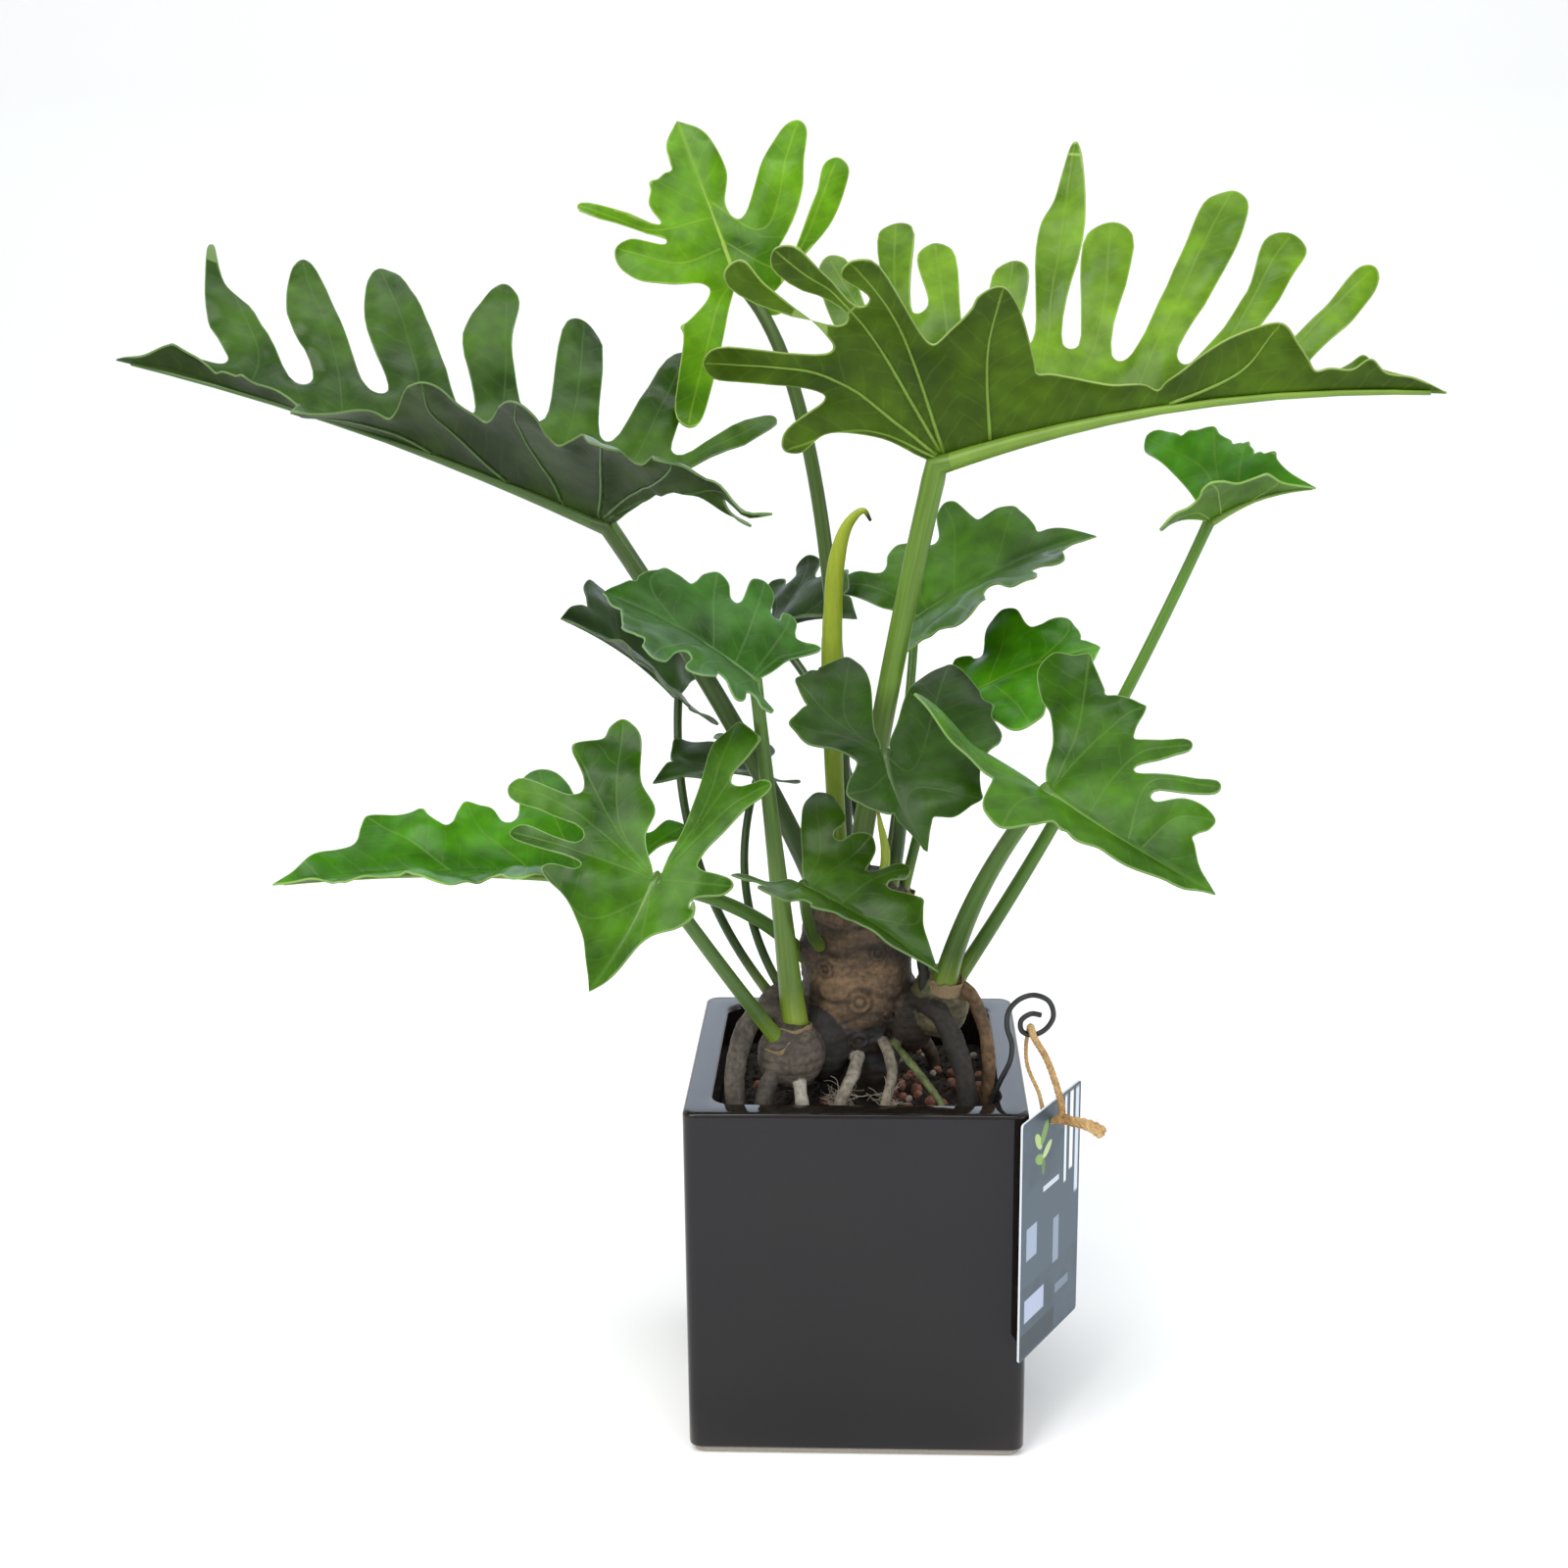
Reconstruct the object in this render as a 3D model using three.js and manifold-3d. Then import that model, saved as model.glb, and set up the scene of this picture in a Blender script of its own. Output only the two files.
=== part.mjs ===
// Potted lacy tree philodendron: a young plant with deeply lobed leaves in a square glazed pot.
// Millimetres, +Z up. The origin is the middle of the pot's underside, and the front looks along -Y.
import * as THREE from "three";
import Module from "manifold-3d";
import { mergeVertices } from "three/addons/utils/BufferGeometryUtils.js";

const wasm = await Module();
wasm.setup();
const { Manifold, Mesh } = wasm;

// Gap left between two pieces that touch.
const GAP = 0.3;

// The pot is a cube planter with straight walls.
const POT_WIDTH = 140;
const POT_HEIGHT = 153;
const POT_WALL = 11.5;
const POT_FLOOR = 10;
const POT_CORNER = 5;
const RIM_ROUND = 2;
const FOOT_INSET = 2;
const FOOT_HEIGHT = 2.5;
const SOIL_DROP = 18;

// The trunk and what grows from it.
const TRUNK_RADIUS = 21;
const TRUNK_TOP = 236;

// Leaves are waxy and thin, but no thinner than a solid can be. Their blades are a little wavy.
const BLADE = 0.9;
const CURL_REACH = 60;
const LIFT_SPREAD = 14;
const WAVE = 2.4;
const EDGE_STEPS = 2;

// The plant tag hangs on twine from a wire hook.
const WIRE_RADIUS = 1.1;
const TWINE_RADIUS = 1.5;
const TAG_WIDTH = 56;
const TAG_HEIGHT = 104;
const TAG_THICK = 0.9;
const TAG_HOLE = 1.9;

// Finish of each material: its colour, how rough it is and whether it is bare metal.
const FINISHES = {
  glaze: { color: 0x2c2a29, roughness: 0.15 },
  earth: { color: 0x6b3a28, roughness: 0.95 },
  bark: { color: 0x6a5540, roughness: 0.85 },
  leaf: { color: 0x3f8a20, roughness: 0.4 },
  young_leaf: { color: 0x9aa83a, roughness: 0.4 },
  wire: { color: 0x1e1f20, roughness: 0.4, metalness: 0.6 },
  twine: { color: 0xc9a877, roughness: 0.95 },
  card: { color: 0x33424a, roughness: 0.6 },
};

const soilTop = POT_HEIGHT - SOIL_DROP;
const cavity = POT_WIDTH / 2 - POT_WALL;

// Every leaf is set out alike. Its stalk runs from foot past bend to joint, where the blade begins,
// and stalk gives its radius at both ends. The midrib runs from joint to tip, raised by arch and
// pushed sideways by bow. The upper side looks to face, each half is folded up by fold degrees, and
// curl is how far a half bends back down where it reaches CURL_REACH out. Left and right trace the
// edge of each half from the joint to the tip. A place says how far along the midrib it is and how far
// out, how much a lobe's end or a cut's bottom is rounded there, and how much it is lifted.
const LEAVES = {
  leaf_a: {
    foot: [-14, -10, 224], bend: [-40, -12, 290], joint: [-100, -10, 382], tip: [-304, 15, 448],
    stalk: [4.4, 3.8], face: [0, 0, 1], fold: [45, 38], arch: 5, bow: 0, curl: [10, 2],
    left: [
      [-13, 28], [-27, 58], [-42, 68], [-60, 66, 2, -4], [-48, 76, 2], [-68, 92, 1], [-40, 86, 3],
      [-24, 96, 4], [-12, 72, 3], [0, 86, 6], [20, 58, 3], [38, 72, 7], [54, 38, 3], [78, 54, 8, 4],
      [94, 20, 3], [104, 26], [124, 32, 7, -20], [134, 8, 3], [158, 14, 5], [172, 6, 3], [190, 14, 3, 4],
      [204, 6],
    ],
    right: [
      [-14, 40], [-36, 98, 4], [-8, 52, 3], [10, 112, 5], [20, 44, 3], [54, 104, 7], [47, 36, 3],
      [74, 74], [90, 108, 6, 4], [94, 70], [74, 28, 3], [112, 74], [142, 98, 4], [134, 62], [110, 22, 4],
      [138, 50], [170, 82, 4], [162, 48], [140, 16, 4], [180, 50], [194, 58], [206, 74, 1, 6],
      [192, 36], [174, 12, 4], [194, 14, 5], [208, 6],
    ],
  },
  leaf_b: {
    foot: [-2, -14, 224], bend: [10, -20, 310], joint: [32, -25, 408], tip: [223, -45, 436],
    stalk: [4.5, 4.6], face: [0, 0, 1], fold: [60, 68], arch: 9, bow: 0, curl: [3, 3],
    left: [
      [-12, 36], [-26, 74], [-22, 108, 6], [-8, 72, 3], [6, 117, 6], [8, 66, 3], [18, 98, 6], [24, 46, 3],
      [44, 80, 6], [42, 38, 3], [54, 88], [62, 104], [72, 126, 1, 10], [71, 88], [58, 34, 3], [80, 86, 8],
      [76, 24, 4], [102, 66], [122, 93, 7], [120, 62], [98, 17, 3], [124, 46], [141, 71, 7], [138, 46],
      [120, 13, 3], [150, 34], [168, 50, 4, 4], [160, 28], [144, 9, 3], [164, 14, 5], [182, 6],
    ],
    right: [
      [-16, 18], [-36, 28], [-52, 30, 5, -6], [-30, 44, 3], [-50, 58], [-68, 73, 7], [-20, 62, 3], [-34, 96],
      [-46, 106, 6], [-12, 70, 3], [-26, 108, 6], [-3, 74, 3], [-2, 94, 6], [14, 50, 3], [30, 60],
      [42, 64, 7], [46, 26, 4], [66, 16], [88, 8, 4], [112, 24], [134, 30, 9], [146, 10, 4], [166, 13, 6],
      [182, 6],
    ],
  },
  leaf_c: {
    foot: [-5, 11, 230], bend: [-8, 42, 440], joint: [-51, 60, 476], tip: [-77, 85, 542],
    stalk: [3.4, 2.8], face: [0.1, -1, 0.3], fold: [12, 12], arch: 2, bow: 0, curl: [4, 4],
    left: [
      [-12, 8], [-28, 18], [-52, 40, 5, -6], [-12, 30, 3], [0, 12, 3], [6, 28], [12, 40], [28, 44, 6],
      [24, 23, 1], [47, 55, 2, 5], [32, 23, 1], [41, 25], [51, 21, 3], [54, 10, 3], [66, 8],
    ],
    right: [
      [-12, 4], [-19, 14, 4], [-10, 13, 2], [8, 44], [20, 56], [33, 58, 5], [22, 44], [6, 30], [-2, 18, 3],
      [20, 36], [36, 44], [56, 48, 4], [43, 28], [24, 10, 3], [34, 7], [47, 12], [66, 9],
    ],
  },
  leaf_e: {
    foot: [40, -15, 188], bend: [95, -14, 275], joint: [141, -10, 383], tip: [181, -18, 397],
    stalk: [3.3, 2.3], face: [0, 0, 1], fold: [45, 28], arch: 3, bow: 0, curl: [6, 4],
    left: [
      [-2, 20], [-6, 40], [-8, 63, 5], [4, 48, 2], [13, 46, 4], [17, 34, 2], [22, 32, 2], [23, 23, 2],
      [30, 19, 3], [34, 8],
    ],
    right: [[-4, 12], [-13, 30, 5], [2, 24, 3], [10, 31, 4], [18, 18, 2], [27, 20, 3], [32, 8]],
  },
  leaf_f: {
    foot: [13, 8, 228], bend: [22, 20, 290], joint: [25, 50, 333], tip: [103, 60, 367],
    stalk: [2.3, 1.9], face: [0, 0, 1], fold: [35, 5], arch: 4, bow: 0, curl: [4, 4],
    left: [
      [-10, 20], [-18, 44, 5], [0, 34, 3], [12, 48, 6], [24, 34, 3], [36, 54, 4], [44, 32, 3], [60, 33, 4],
      [64, 14, 3], [74, 9],
    ],
    right: [
      [-10, 24], [-14, 44, 6], [4, 36, 3], [20, 53, 7], [31, 36, 3], [46, 49, 6], [52, 28, 3], [65, 29, 5],
      [67, 12, 3], [76, 8],
    ],
  },
  leaf_g: {
    foot: [14, -7, 226], bend: [24, -22, 288], joint: [12, -58, 299], tip: [28, -88, 268],
    stalk: [3, 2.6], face: [0, -0.8, 0.6], fold: [3, 10], arch: 3, bow: 3, curl: [2, 4],
    left: [
      [-15, 6], [-34, 14], [-44, 30, 6], [-30, 40], [-20, 45, 4, -2], [-4, 46], [14, 36], [24, 33],
      [39, 29, 4], [40, 16], [36, 9, 2],
    ],
    right: [
      [-10, 3], [-38, 3], [-52, 10, 5], [-42, 24, 2], [-38, 33, 3], [-26, 29, 2], [-15, 37, 4], [-3, 28],
      [4, 12, 2], [17, 19, 5], [25, 10], [28, 4, 2], [36, 2],
    ],
  },
  leaf_h: {
    foot: [36, -24, 190], bend: [46, -36, 240], joint: [73, -84, 291], tip: [133, -116, 260],
    stalk: [5, 3.2], face: [0.2, -0.75, 0.65], fold: [10, 35], arch: 3, bow: 3, curl: [4, 6],
    left: [
      [-6, 6], [-13, 18], [-24, 28], [-32, 32], [-43, 42], [-43, 52], [-32, 60, 5], [-12, 47, 3],
      [2, 54, 3], [9, 40, 3], [34, 49, 3], [20, 28, 2], [56, 38, 3], [34, 21, 2], [46, 27], [61, 26, 4],
      [57, 15, 2], [66, 6],
    ],
    right: [
      [-22, 3], [-50, 15], [-56, 23, 2, 13], [-32, 24], [-14, 17, 3], [-6, 30], [7, 35, 7, -3], [16, 19, 3],
      [28, 22, 6], [44, 14], [60, 8],
    ],
  },
  leaf_i: {
    foot: [-31, -40, 172], bend: [-50, -58, 205], joint: [-77, -80, 255], tip: [-102, -96, 214],
    stalk: [3.3, 2.8], face: [-0.2, -0.85, 0.5], fold: [10, 10], arch: 3, bow: -3, curl: [4, 5],
    left: [
      [-18, 3], [-42, 3], [-56, 2], [-67, 9, 6], [-61, 23, 3, 5], [-42, 17, 3], [-45, 33, 3, 3], [-24, 22],
      [-9, 14, 2], [-3, 33, 3], [5, 17, 2], [9, 22, 5], [24, 8], [40, 5],
    ],
    right: [
      [-14, 10], [-26, 11], [-34, 20], [-52, 28], [-57, 38, 5], [-47, 42], [-41, 53, 2], [-23, 41, 4],
      [-17, 70, 4], [-6, 33, 3], [0, 62, 4], [6, 29, 2], [15, 43, 4], [24, 28], [34, 16],
    ],
  },
  leaf_j: {
    foot: [-17, -8, 193], bend: [-44, -14, 230], joint: [-95, -20, 235], tip: [-237, -45, 241],
    stalk: [3.3, 2.8], face: [0, 0, 1], fold: [20, 35], arch: 4, bow: 0, curl: [8, 3],
    left: [
      [-8, 10], [-19, 23, 5], [-4, 20, 3], [10, 38, 6], [24, 24, 3], [44, 46, 7], [58, 22, 3], [78, 42, 7],
      [94, 18, 3], [113, 25, 5], [120, 8, 3], [134, 5],
    ],
    right: [
      [-12, 20], [-24, 34, 6], [-6, 28, 3], [6, 54, 6], [16, 36, 3], [37, 64, 7], [48, 30, 3], [56, 38],
      [67, 40, 5], [75, 24, 3], [84, 34, 4], [107, 36, 5], [112, 20], [126, 14], [136, 6],
    ],
  },
  leaf_k: {
    foot: [-25, -34, 174], bend: [-31, -40, 240], joint: [-39, -48, 326], tip: [-99, -42, 360],
    stalk: [5.6, 2.6], face: [0, 0, 1], fold: [0, 30], arch: 3, bow: 0, curl: [8, 3],
    left: [
      [-5, 8], [-12, 18, 4], [-1, 16, 2], [2, 27, 4], [12, 18, 2], [18, 34, 6], [28, 24, 3], [37, 42, 5],
      [44, 32, 2], [53, 31, 4], [58, 13, 2], [64, 8],
    ],
    right: [
      [-3, 10], [-6, 24], [-12, 40, 2], [-2, 36, 2], [5, 47, 3], [9, 36, 2], [20, 50, 5], [24, 31, 2],
      [36, 39, 5], [42, 26, 2], [53, 28, 5], [60, 12, 2], [66, 6],
    ],
  },
  leaf_l: {
    foot: [-36, -20, 186], bend: [-80, 8, 232], joint: [-77, 34, 302], tip: [-124, 14, 340],
    stalk: [2.1, 1.8], face: [0, 0, 1], fold: [0, 40], arch: 3, bow: 0, curl: [5, 3],
    left: [[-8, 12], [-13, 22, 5], [0, 20, 3], [13, 35, 6], [24, 23, 3], [38, 27, 5], [46, 12, 3], [56, 8]],
    right: [[-6, 20], [-14, 40, 5], [2, 30, 3], [22, 55, 4], [28, 24, 4], [50, 36, 5], [52, 14, 3], [60, 8]],
  },
  leaf_m: {
    foot: [4, 14, 228], bend: [-4, 32, 300], joint: [-40, 66, 325], tip: [0, 40, 335],
    stalk: [2.2, 1.9], face: [0, 0, 1], fold: [40, 10], arch: 3, bow: 0, curl: [4, 4],
    left: [[-2, 18], [-7, 34, 5], [4, 28, 3], [9, 43, 5], [18, 26, 3], [30, 30, 5], [37, 12, 3], [44, 6]],
    right: [[-8, 10], [-14, 18, 4], [-2, 14, 3], [6, 21, 5], [17, 12, 3], [30, 14, 4], [38, 8, 2]],
  },
  leaf_n: {
    foot: [-14, -17, 206], bend: [-20, -36, 216], joint: [-20, -70, 249], tip: [32, -100, 224],
    stalk: [2.8, 2.3], face: [0.2, -0.6, 0.75], fold: [10, 40], arch: 3, bow: 0, curl: [3, 5],
    left: [
      [-8, 10], [-17, 22], [-25, 42, 5], [-12, 40], [-4, 34], [-3, 25, 2], [7, 35, 5], [13, 27], [15, 20, 2],
      [31, 28, 4], [28, 17, 2], [42, 21, 3], [49, 12], [58, 5],
    ],
    right: [[-6, 14], [-14, 30, 5], [-3, 22, 3], [5, 34, 6], [12, 18, 3], [22, 23, 5], [30, 10, 3], [44, 8]],
  },
  leaf_o: {
    foot: [-28, -18, 182], bend: [-58, -8, 225], joint: [-42, 18, 272], tip: [-84, -14, 276],
    stalk: [2, 1.7], face: [0, 0, 1], fold: [5, 24], arch: 3, bow: 0, curl: [3, 3],
    left: [[-6, 8], [-12, 14, 3], [0, 10, 2], [10, 17, 4], [21, 9, 2], [34, 16, 4], [42, 6, 2], [48, 4]],
    right: [[-10, 12], [-19, 26, 4], [-7, 21, 2], [2, 33, 5], [13, 18, 3], [28, 25, 5], [38, 9, 2], [46, 5]],
  },
  leaf_d: {
    foot: [19, -1, 222], bend: [30, -2, 270], joint: [40, 6, 305], tip: [100, 0, 330],
    stalk: [2.3, 1.9], face: [0, 0, 1], fold: [30, -20], arch: 3, bow: 0, curl: [3, 3],
    left: [[2, 12], [7, 26, 5], [17, 22, 3], [30, 40, 6], [40, 22, 3], [54, 25, 5], [58, 8, 2]],
    right: [[-4, 18], [0, 40, 6], [14, 30, 3], [32, 47, 7], [42, 24, 3], [59, 27, 5], [60, 9, 2]],
  },
};

const vec = (p) => new THREE.Vector3(p[0], p[1], p[2]);

// A point and a direction on a bent line with one control point, at 0 to 1.
function onBend(a, b, c, t) {
  const point = a.clone().multiplyScalar((1 - t) ** 2);
  point.addScaledVector(b, 2 * t * (1 - t));
  point.addScaledVector(c, t * t);
  return point;
}

// A closed solid from its corners and its triangles.
function solidOf(corners, triangles) {
  const vertProperties = new Float32Array(corners.flatMap((p) => [p.x, p.y, p.z]));
  const triVerts = new Uint32Array(triangles.flat());
  return new Manifold(new Mesh({ numProp: 3, vertProperties, triVerts }));
}

// A closed solid from one of three.js's own geometries.
function solidFrom(geometry) {
  geometry.deleteAttribute("normal");
  geometry.deleteAttribute("uv");
  const merged = mergeVertices(geometry);
  const triVerts = new Uint32Array(merged.index.array);
  return new Manifold(new Mesh({ numProp: 3, vertProperties: merged.attributes.position.array, triVerts }));
}

// A named mesh from a solid, in one of the finishes.
function meshOf(name, solid, finish) {
  const data = solid.getMesh();
  const geometry = new THREE.BufferGeometry();
  geometry.setAttribute("position", new THREE.BufferAttribute(data.vertProperties, 3));
  geometry.setIndex(new THREE.BufferAttribute(data.triVerts, 1));
  const mesh = new THREE.Mesh(geometry, new THREE.MeshStandardMaterial(FINISHES[finish]));
  mesh.name = name;
  return mesh;
}

// A round bar along points, with a radius at each, closed at both ends or joined end to end.
function bar(points, radii, sides, joined = false) {
  const corners = [];
  const triangles = [];
  const last = points.length - 1;
  let across = null;
  points.forEach((p, i) => {
    const before = joined && i === 0 ? points[last] : points[Math.max(i - 1, 0)];
    const after = joined && i === last ? points[0] : points[Math.min(i + 1, last)];
    const along = after.clone().sub(before).normalize();
    if (!across) across = new THREE.Vector3(0, 1, 0).cross(along);
    if (across.length() < 0.1) across = new THREE.Vector3(1, 0, 0);
    across = across.clone().addScaledVector(along, -across.dot(along)).normalize();
    const up = along.clone().cross(across);
    for (let k = 0; k < sides; k++) {
      const turn = (2 * Math.PI * k) / sides;
      const corner = p.clone().addScaledVector(across, radii[i] * Math.cos(turn));
      corners.push(corner.addScaledVector(up, radii[i] * Math.sin(turn)));
    }
  });
  const rings = joined ? points.length : last;
  for (let i = 0; i < rings; i++) {
    const low = i * sides;
    const high = ((i + 1) % points.length) * sides;
    for (let k = 0; k < sides; k++) {
      const next = (k + 1) % sides;
      triangles.push([low + k, low + next, high + next], [low + k, high + next, high + k]);
    }
  }
  if (!joined) {
    for (let k = 1; k < sides - 1; k++) {
      triangles.push([0, k + 1, k]);
      triangles.push([last * sides, last * sides + k, last * sides + k + 1]);
    }
  }
  return solidOf(corners, triangles);
}

// Points along a smooth line through the given ones.
function smooth(list, steps, closed = false) {
  const curve = new THREE.CatmullRomCurve3(list.map(vec), closed, "centripetal");
  const points = curve.getPoints(steps);
  if (closed) points.pop();
  return points;
}

const even = (points, radius) => points.map(() => radius);
const taper = (points, from, to) => points.map((p, i) => from + ((to - from) * i) / (points.length - 1));

// The midrib and the two folded halves of a blade. The result turns a place on a half, along the
// midrib and out from it, into a point: side is 1 for the right half and -1 for the left one.
function bladeSurface(leaf) {
  const joint = vec(leaf.joint);
  const tip = vec(leaf.tip);
  const face = vec(leaf.face).normalize();
  const length = joint.distanceTo(tip);
  const run = tip.clone().sub(joint).normalize();
  const side = run.clone().cross(face).normalize();
  const up = side.clone().cross(run);
  const control = joint.clone().add(tip).multiplyScalar(0.5);
  control.addScaledVector(up, 2 * leaf.arch).addScaledVector(side, 2 * leaf.bow);
  const place = (half, along, out, lift) => {
    const t = along / length;
    const inside = Math.min(Math.max(t, 0), 1);
    const point = onBend(joint, control, tip, inside);
    const ahead = control.clone().sub(joint).multiplyScalar(1 - inside);
    ahead.addScaledVector(tip.clone().sub(control), inside).multiplyScalar(2 / length);
    point.addScaledVector(ahead, along - inside * length);
    ahead.normalize();
    const across = ahead.clone().cross(face).normalize();
    const normal = across.clone().cross(ahead);
    const fold = (leaf.fold[half < 0 ? 0 : 1] * Math.PI) / 180;
    const level = out * Math.cos(fold) - lift * Math.sin(fold);
    const raise = out * Math.sin(fold) + lift * Math.cos(fold);
    return point.addScaledVector(across, half * level).addScaledVector(normal, raise);
  };
  return { length, place };
}

// How much a place on a blade rises above its flat half: lobes curl back, some are lifted, and the
// whole blade is gently waved.
function liftOf(leaf, half, seed, along, out) {
  const places = half < 0 ? leaf.left : leaf.right;
  let lift = -leaf.curl[half < 0 ? 0 : 1] * (out / CURL_REACH) ** 2;
  for (const [a, o, , rise] of places) {
    if (rise) lift += rise * Math.exp(-((along - a) ** 2 + (out - o) ** 2) / (2 * LIFT_SPREAD ** 2));
  }
  const swell = Math.min(out / 25, 1);
  lift += WAVE * swell * Math.sin(along / 9 + seed + half) * Math.cos(out / 15 + seed);
  return lift;
}

// The edge of half a blade, from the joint to the tip, as places on the flat half.
function edgeOf(places, length) {
  const list = [[0, 0], ...places, [length, 0]].map(([along, out]) => new THREE.Vector3(along, out, 0));
  const path = [];
  list.forEach((spot, i) => {
    const round = i > 0 && i < list.length - 1 ? places[i - 1][2] || 0 : 0;
    if (!round) {
      path.push(spot);
      return;
    }
    const back = list[i - 1].clone().sub(spot).normalize();
    const on = list[i + 1].clone().sub(spot).normalize();
    const inward = back.clone().add(on).normalize().multiplyScalar(0.7 * round);
    const aside = back.clone().sub(on).normalize().multiplyScalar(round);
    path.push(spot.clone().add(inward).add(aside), spot, spot.clone().add(inward).sub(aside));
  });
  const curve = new THREE.CatmullRomCurve3(path, false, "centripetal");
  const points = curve.getPoints(EDGE_STEPS * (path.length - 1)).slice(1, -1);
  return points.map((p) => new THREE.Vector2(p.x, Math.max(p.y, p.x < 0 ? 1.8 : 0.8)));
}

// The closed solid of a blade: two halves that meet at the midrib, each cut out along its edge.
function bladeOf(leaf, seed) {
  const { length, place } = bladeSurface(leaf);
  const steps = 6;
  const middle = [];
  for (let k = 0; k <= steps; k++) middle.push(place(1, (k / steps) * length, 0, 0));
  const faces = [];
  for (const half of [-1, 1]) {
    const flat = [];
    const corners = [];
    for (let k = steps; k >= 0; k--) {
      // The midrib is bowed a hair here, because points in line would be dropped.
      flat.push(new THREE.Vector2((k / steps) * length, -0.01 * k * (steps - k)));
      corners.push(k);
    }
    for (const p of edgeOf(half < 0 ? leaf.left : leaf.right, length)) {
      flat.push(p);
      corners.push(middle.length);
      middle.push(place(half, p.x, p.y, liftOf(leaf, half, seed, p.x, p.y)));
    }
    for (const [a, b, c] of THREE.ShapeUtils.triangulateShape(flat, [])) {
      const turn = flat[b].clone().sub(flat[a]).cross(flat[c].clone().sub(flat[a]));
      const face = [corners[a], corners[b], corners[c]];
      if (turn * half > 0) face.reverse();
      faces.push(face);
    }
  }
  return thicken(middle, faces);
}

// A sheet of triangles made BLADE thick, with a wall round its border.
function thicken(middle, faces) {
  const normals = middle.map(() => new THREE.Vector3());
  const halfEdges = new Set();
  for (const [a, b, c] of faces) {
    const ab = middle[b].clone().sub(middle[a]);
    const ac = middle[c].clone().sub(middle[a]);
    const normal = ab.cross(ac);
    for (const k of [a, b, c]) normals[k].add(normal);
    for (const pair of [[a, b], [b, c], [c, a]]) halfEdges.add(pair.join());
  }
  normals.forEach((n) => n.normalize());
  const total = middle.length;
  const corners = middle.map((p, i) => p.clone().addScaledVector(normals[i], BLADE / 2));
  middle.forEach((p, i) => corners.push(p.clone().addScaledVector(normals[i], -BLADE / 2)));
  const triangles = faces.flatMap(([a, b, c]) => [[a, b, c], [a + total, c + total, b + total]]);
  for (const [a, b, c] of faces) {
    for (const [p, q] of [[a, b], [b, c], [c, a]]) {
      if (halfEdges.has([q, p].join())) continue;
      triangles.push([q, p, p + total], [q, p + total, q + total]);
    }
  }
  return solidOf(corners, triangles);
}

// A leaf's stalk, which runs on as the midrib's rib. With grow it is the plain hole that it stands in.
function stalkOf(leaf, grow = 0) {
  const foot = vec(leaf.foot);
  const bend = vec(leaf.bend);
  const joint = vec(leaf.joint);
  const [from, to] = leaf.stalk;
  foot.addScaledVector(foot.clone().sub(bend).normalize(), grow);
  const steps = 7;
  const points = Array.from({ length: steps + 1 }, (_, i) => onBend(foot, bend, joint, i / steps));
  const radii = points.map((p, i) => to + (from - to) * (1 - i / steps) ** 1.5 + grow);
  if (!grow) {
    const { length, place } = bladeSurface(leaf);
    for (const t of [0.14, 0.45]) {
      points.push(place(1, t * length, 0, -0.25 * to));
      radii.push(to * (0.8 - t));
    }
  }
  return bar(points, radii, 6);
}

function leafOf(leaf, seed) {
  return bladeOf(leaf, seed).add(stalkOf(leaf));
}

// A square with round corners, seen from above, counterclockwise.
function roundSquare(half, corner, z) {
  const points = [];
  const steps = 4;
  const centres = [[1, 1], [-1, 1], [-1, -1], [1, -1]];
  centres.forEach(([sx, sy], q) => {
    for (let k = 0; k <= steps; k++) {
      const turn = (Math.PI / 2) * (q + k / steps);
      const x = sx * (half - corner) + corner * Math.cos(turn);
      const y = sy * (half - corner) + corner * Math.sin(turn);
      points.push(new THREE.Vector3(x, y, z));
    }
  });
  return points;
}

// A solid through closed loops of points, closed by a flat at the first and the last.
function loft(loops) {
  const n = loops[0].length;
  const triangles = [];
  for (let i = 0; i < loops.length - 1; i++) {
    for (let k = 0; k < n; k++) {
      const a = i * n + k;
      const b = i * n + ((k + 1) % n);
      triangles.push([a, b, b + n], [a, b + n, a + n]);
    }
  }
  const end = (loops.length - 1) * n;
  for (let k = 1; k < n - 1; k++) {
    triangles.push([0, k + 1, k], [end, end + k, end + k + 1]);
  }
  return solidOf(loops.flat(), triangles);
}

function potSolid() {
  const half = POT_WIDTH / 2;
  const inner = 10;
  const loops = [
    roundSquare(half - FOOT_INSET - 0.5, POT_CORNER, 0),
    roundSquare(half - FOOT_INSET, POT_CORNER, 0.5),
    roundSquare(half - FOOT_INSET, POT_CORNER, FOOT_HEIGHT),
    roundSquare(half - 0.6, POT_CORNER, FOOT_HEIGHT + 0.2),
    roundSquare(half, POT_CORNER, FOOT_HEIGHT + 1.5),
  ];
  for (const turn of [0, 45, 90]) {
    const a = (turn * Math.PI) / 180;
    const inset = RIM_ROUND * (1 - Math.cos(a));
    const drop = RIM_ROUND * (1 - Math.sin(a));
    loops.push(roundSquare(half - inset, POT_CORNER, POT_HEIGHT - drop));
  }
  for (const turn of [90, 45, 0]) {
    const a = (turn * Math.PI) / 180;
    const inset = RIM_ROUND * (1 - Math.cos(a));
    const drop = RIM_ROUND * (1 - Math.sin(a));
    loops.push(roundSquare(cavity + inset, inner, POT_HEIGHT - drop));
  }
  loops.push(roundSquare(cavity, inner, POT_FLOOR + 3));
  loops.push(roundSquare(cavity - 3, inner, POT_FLOOR));
  return loft(loops);
}

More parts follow.
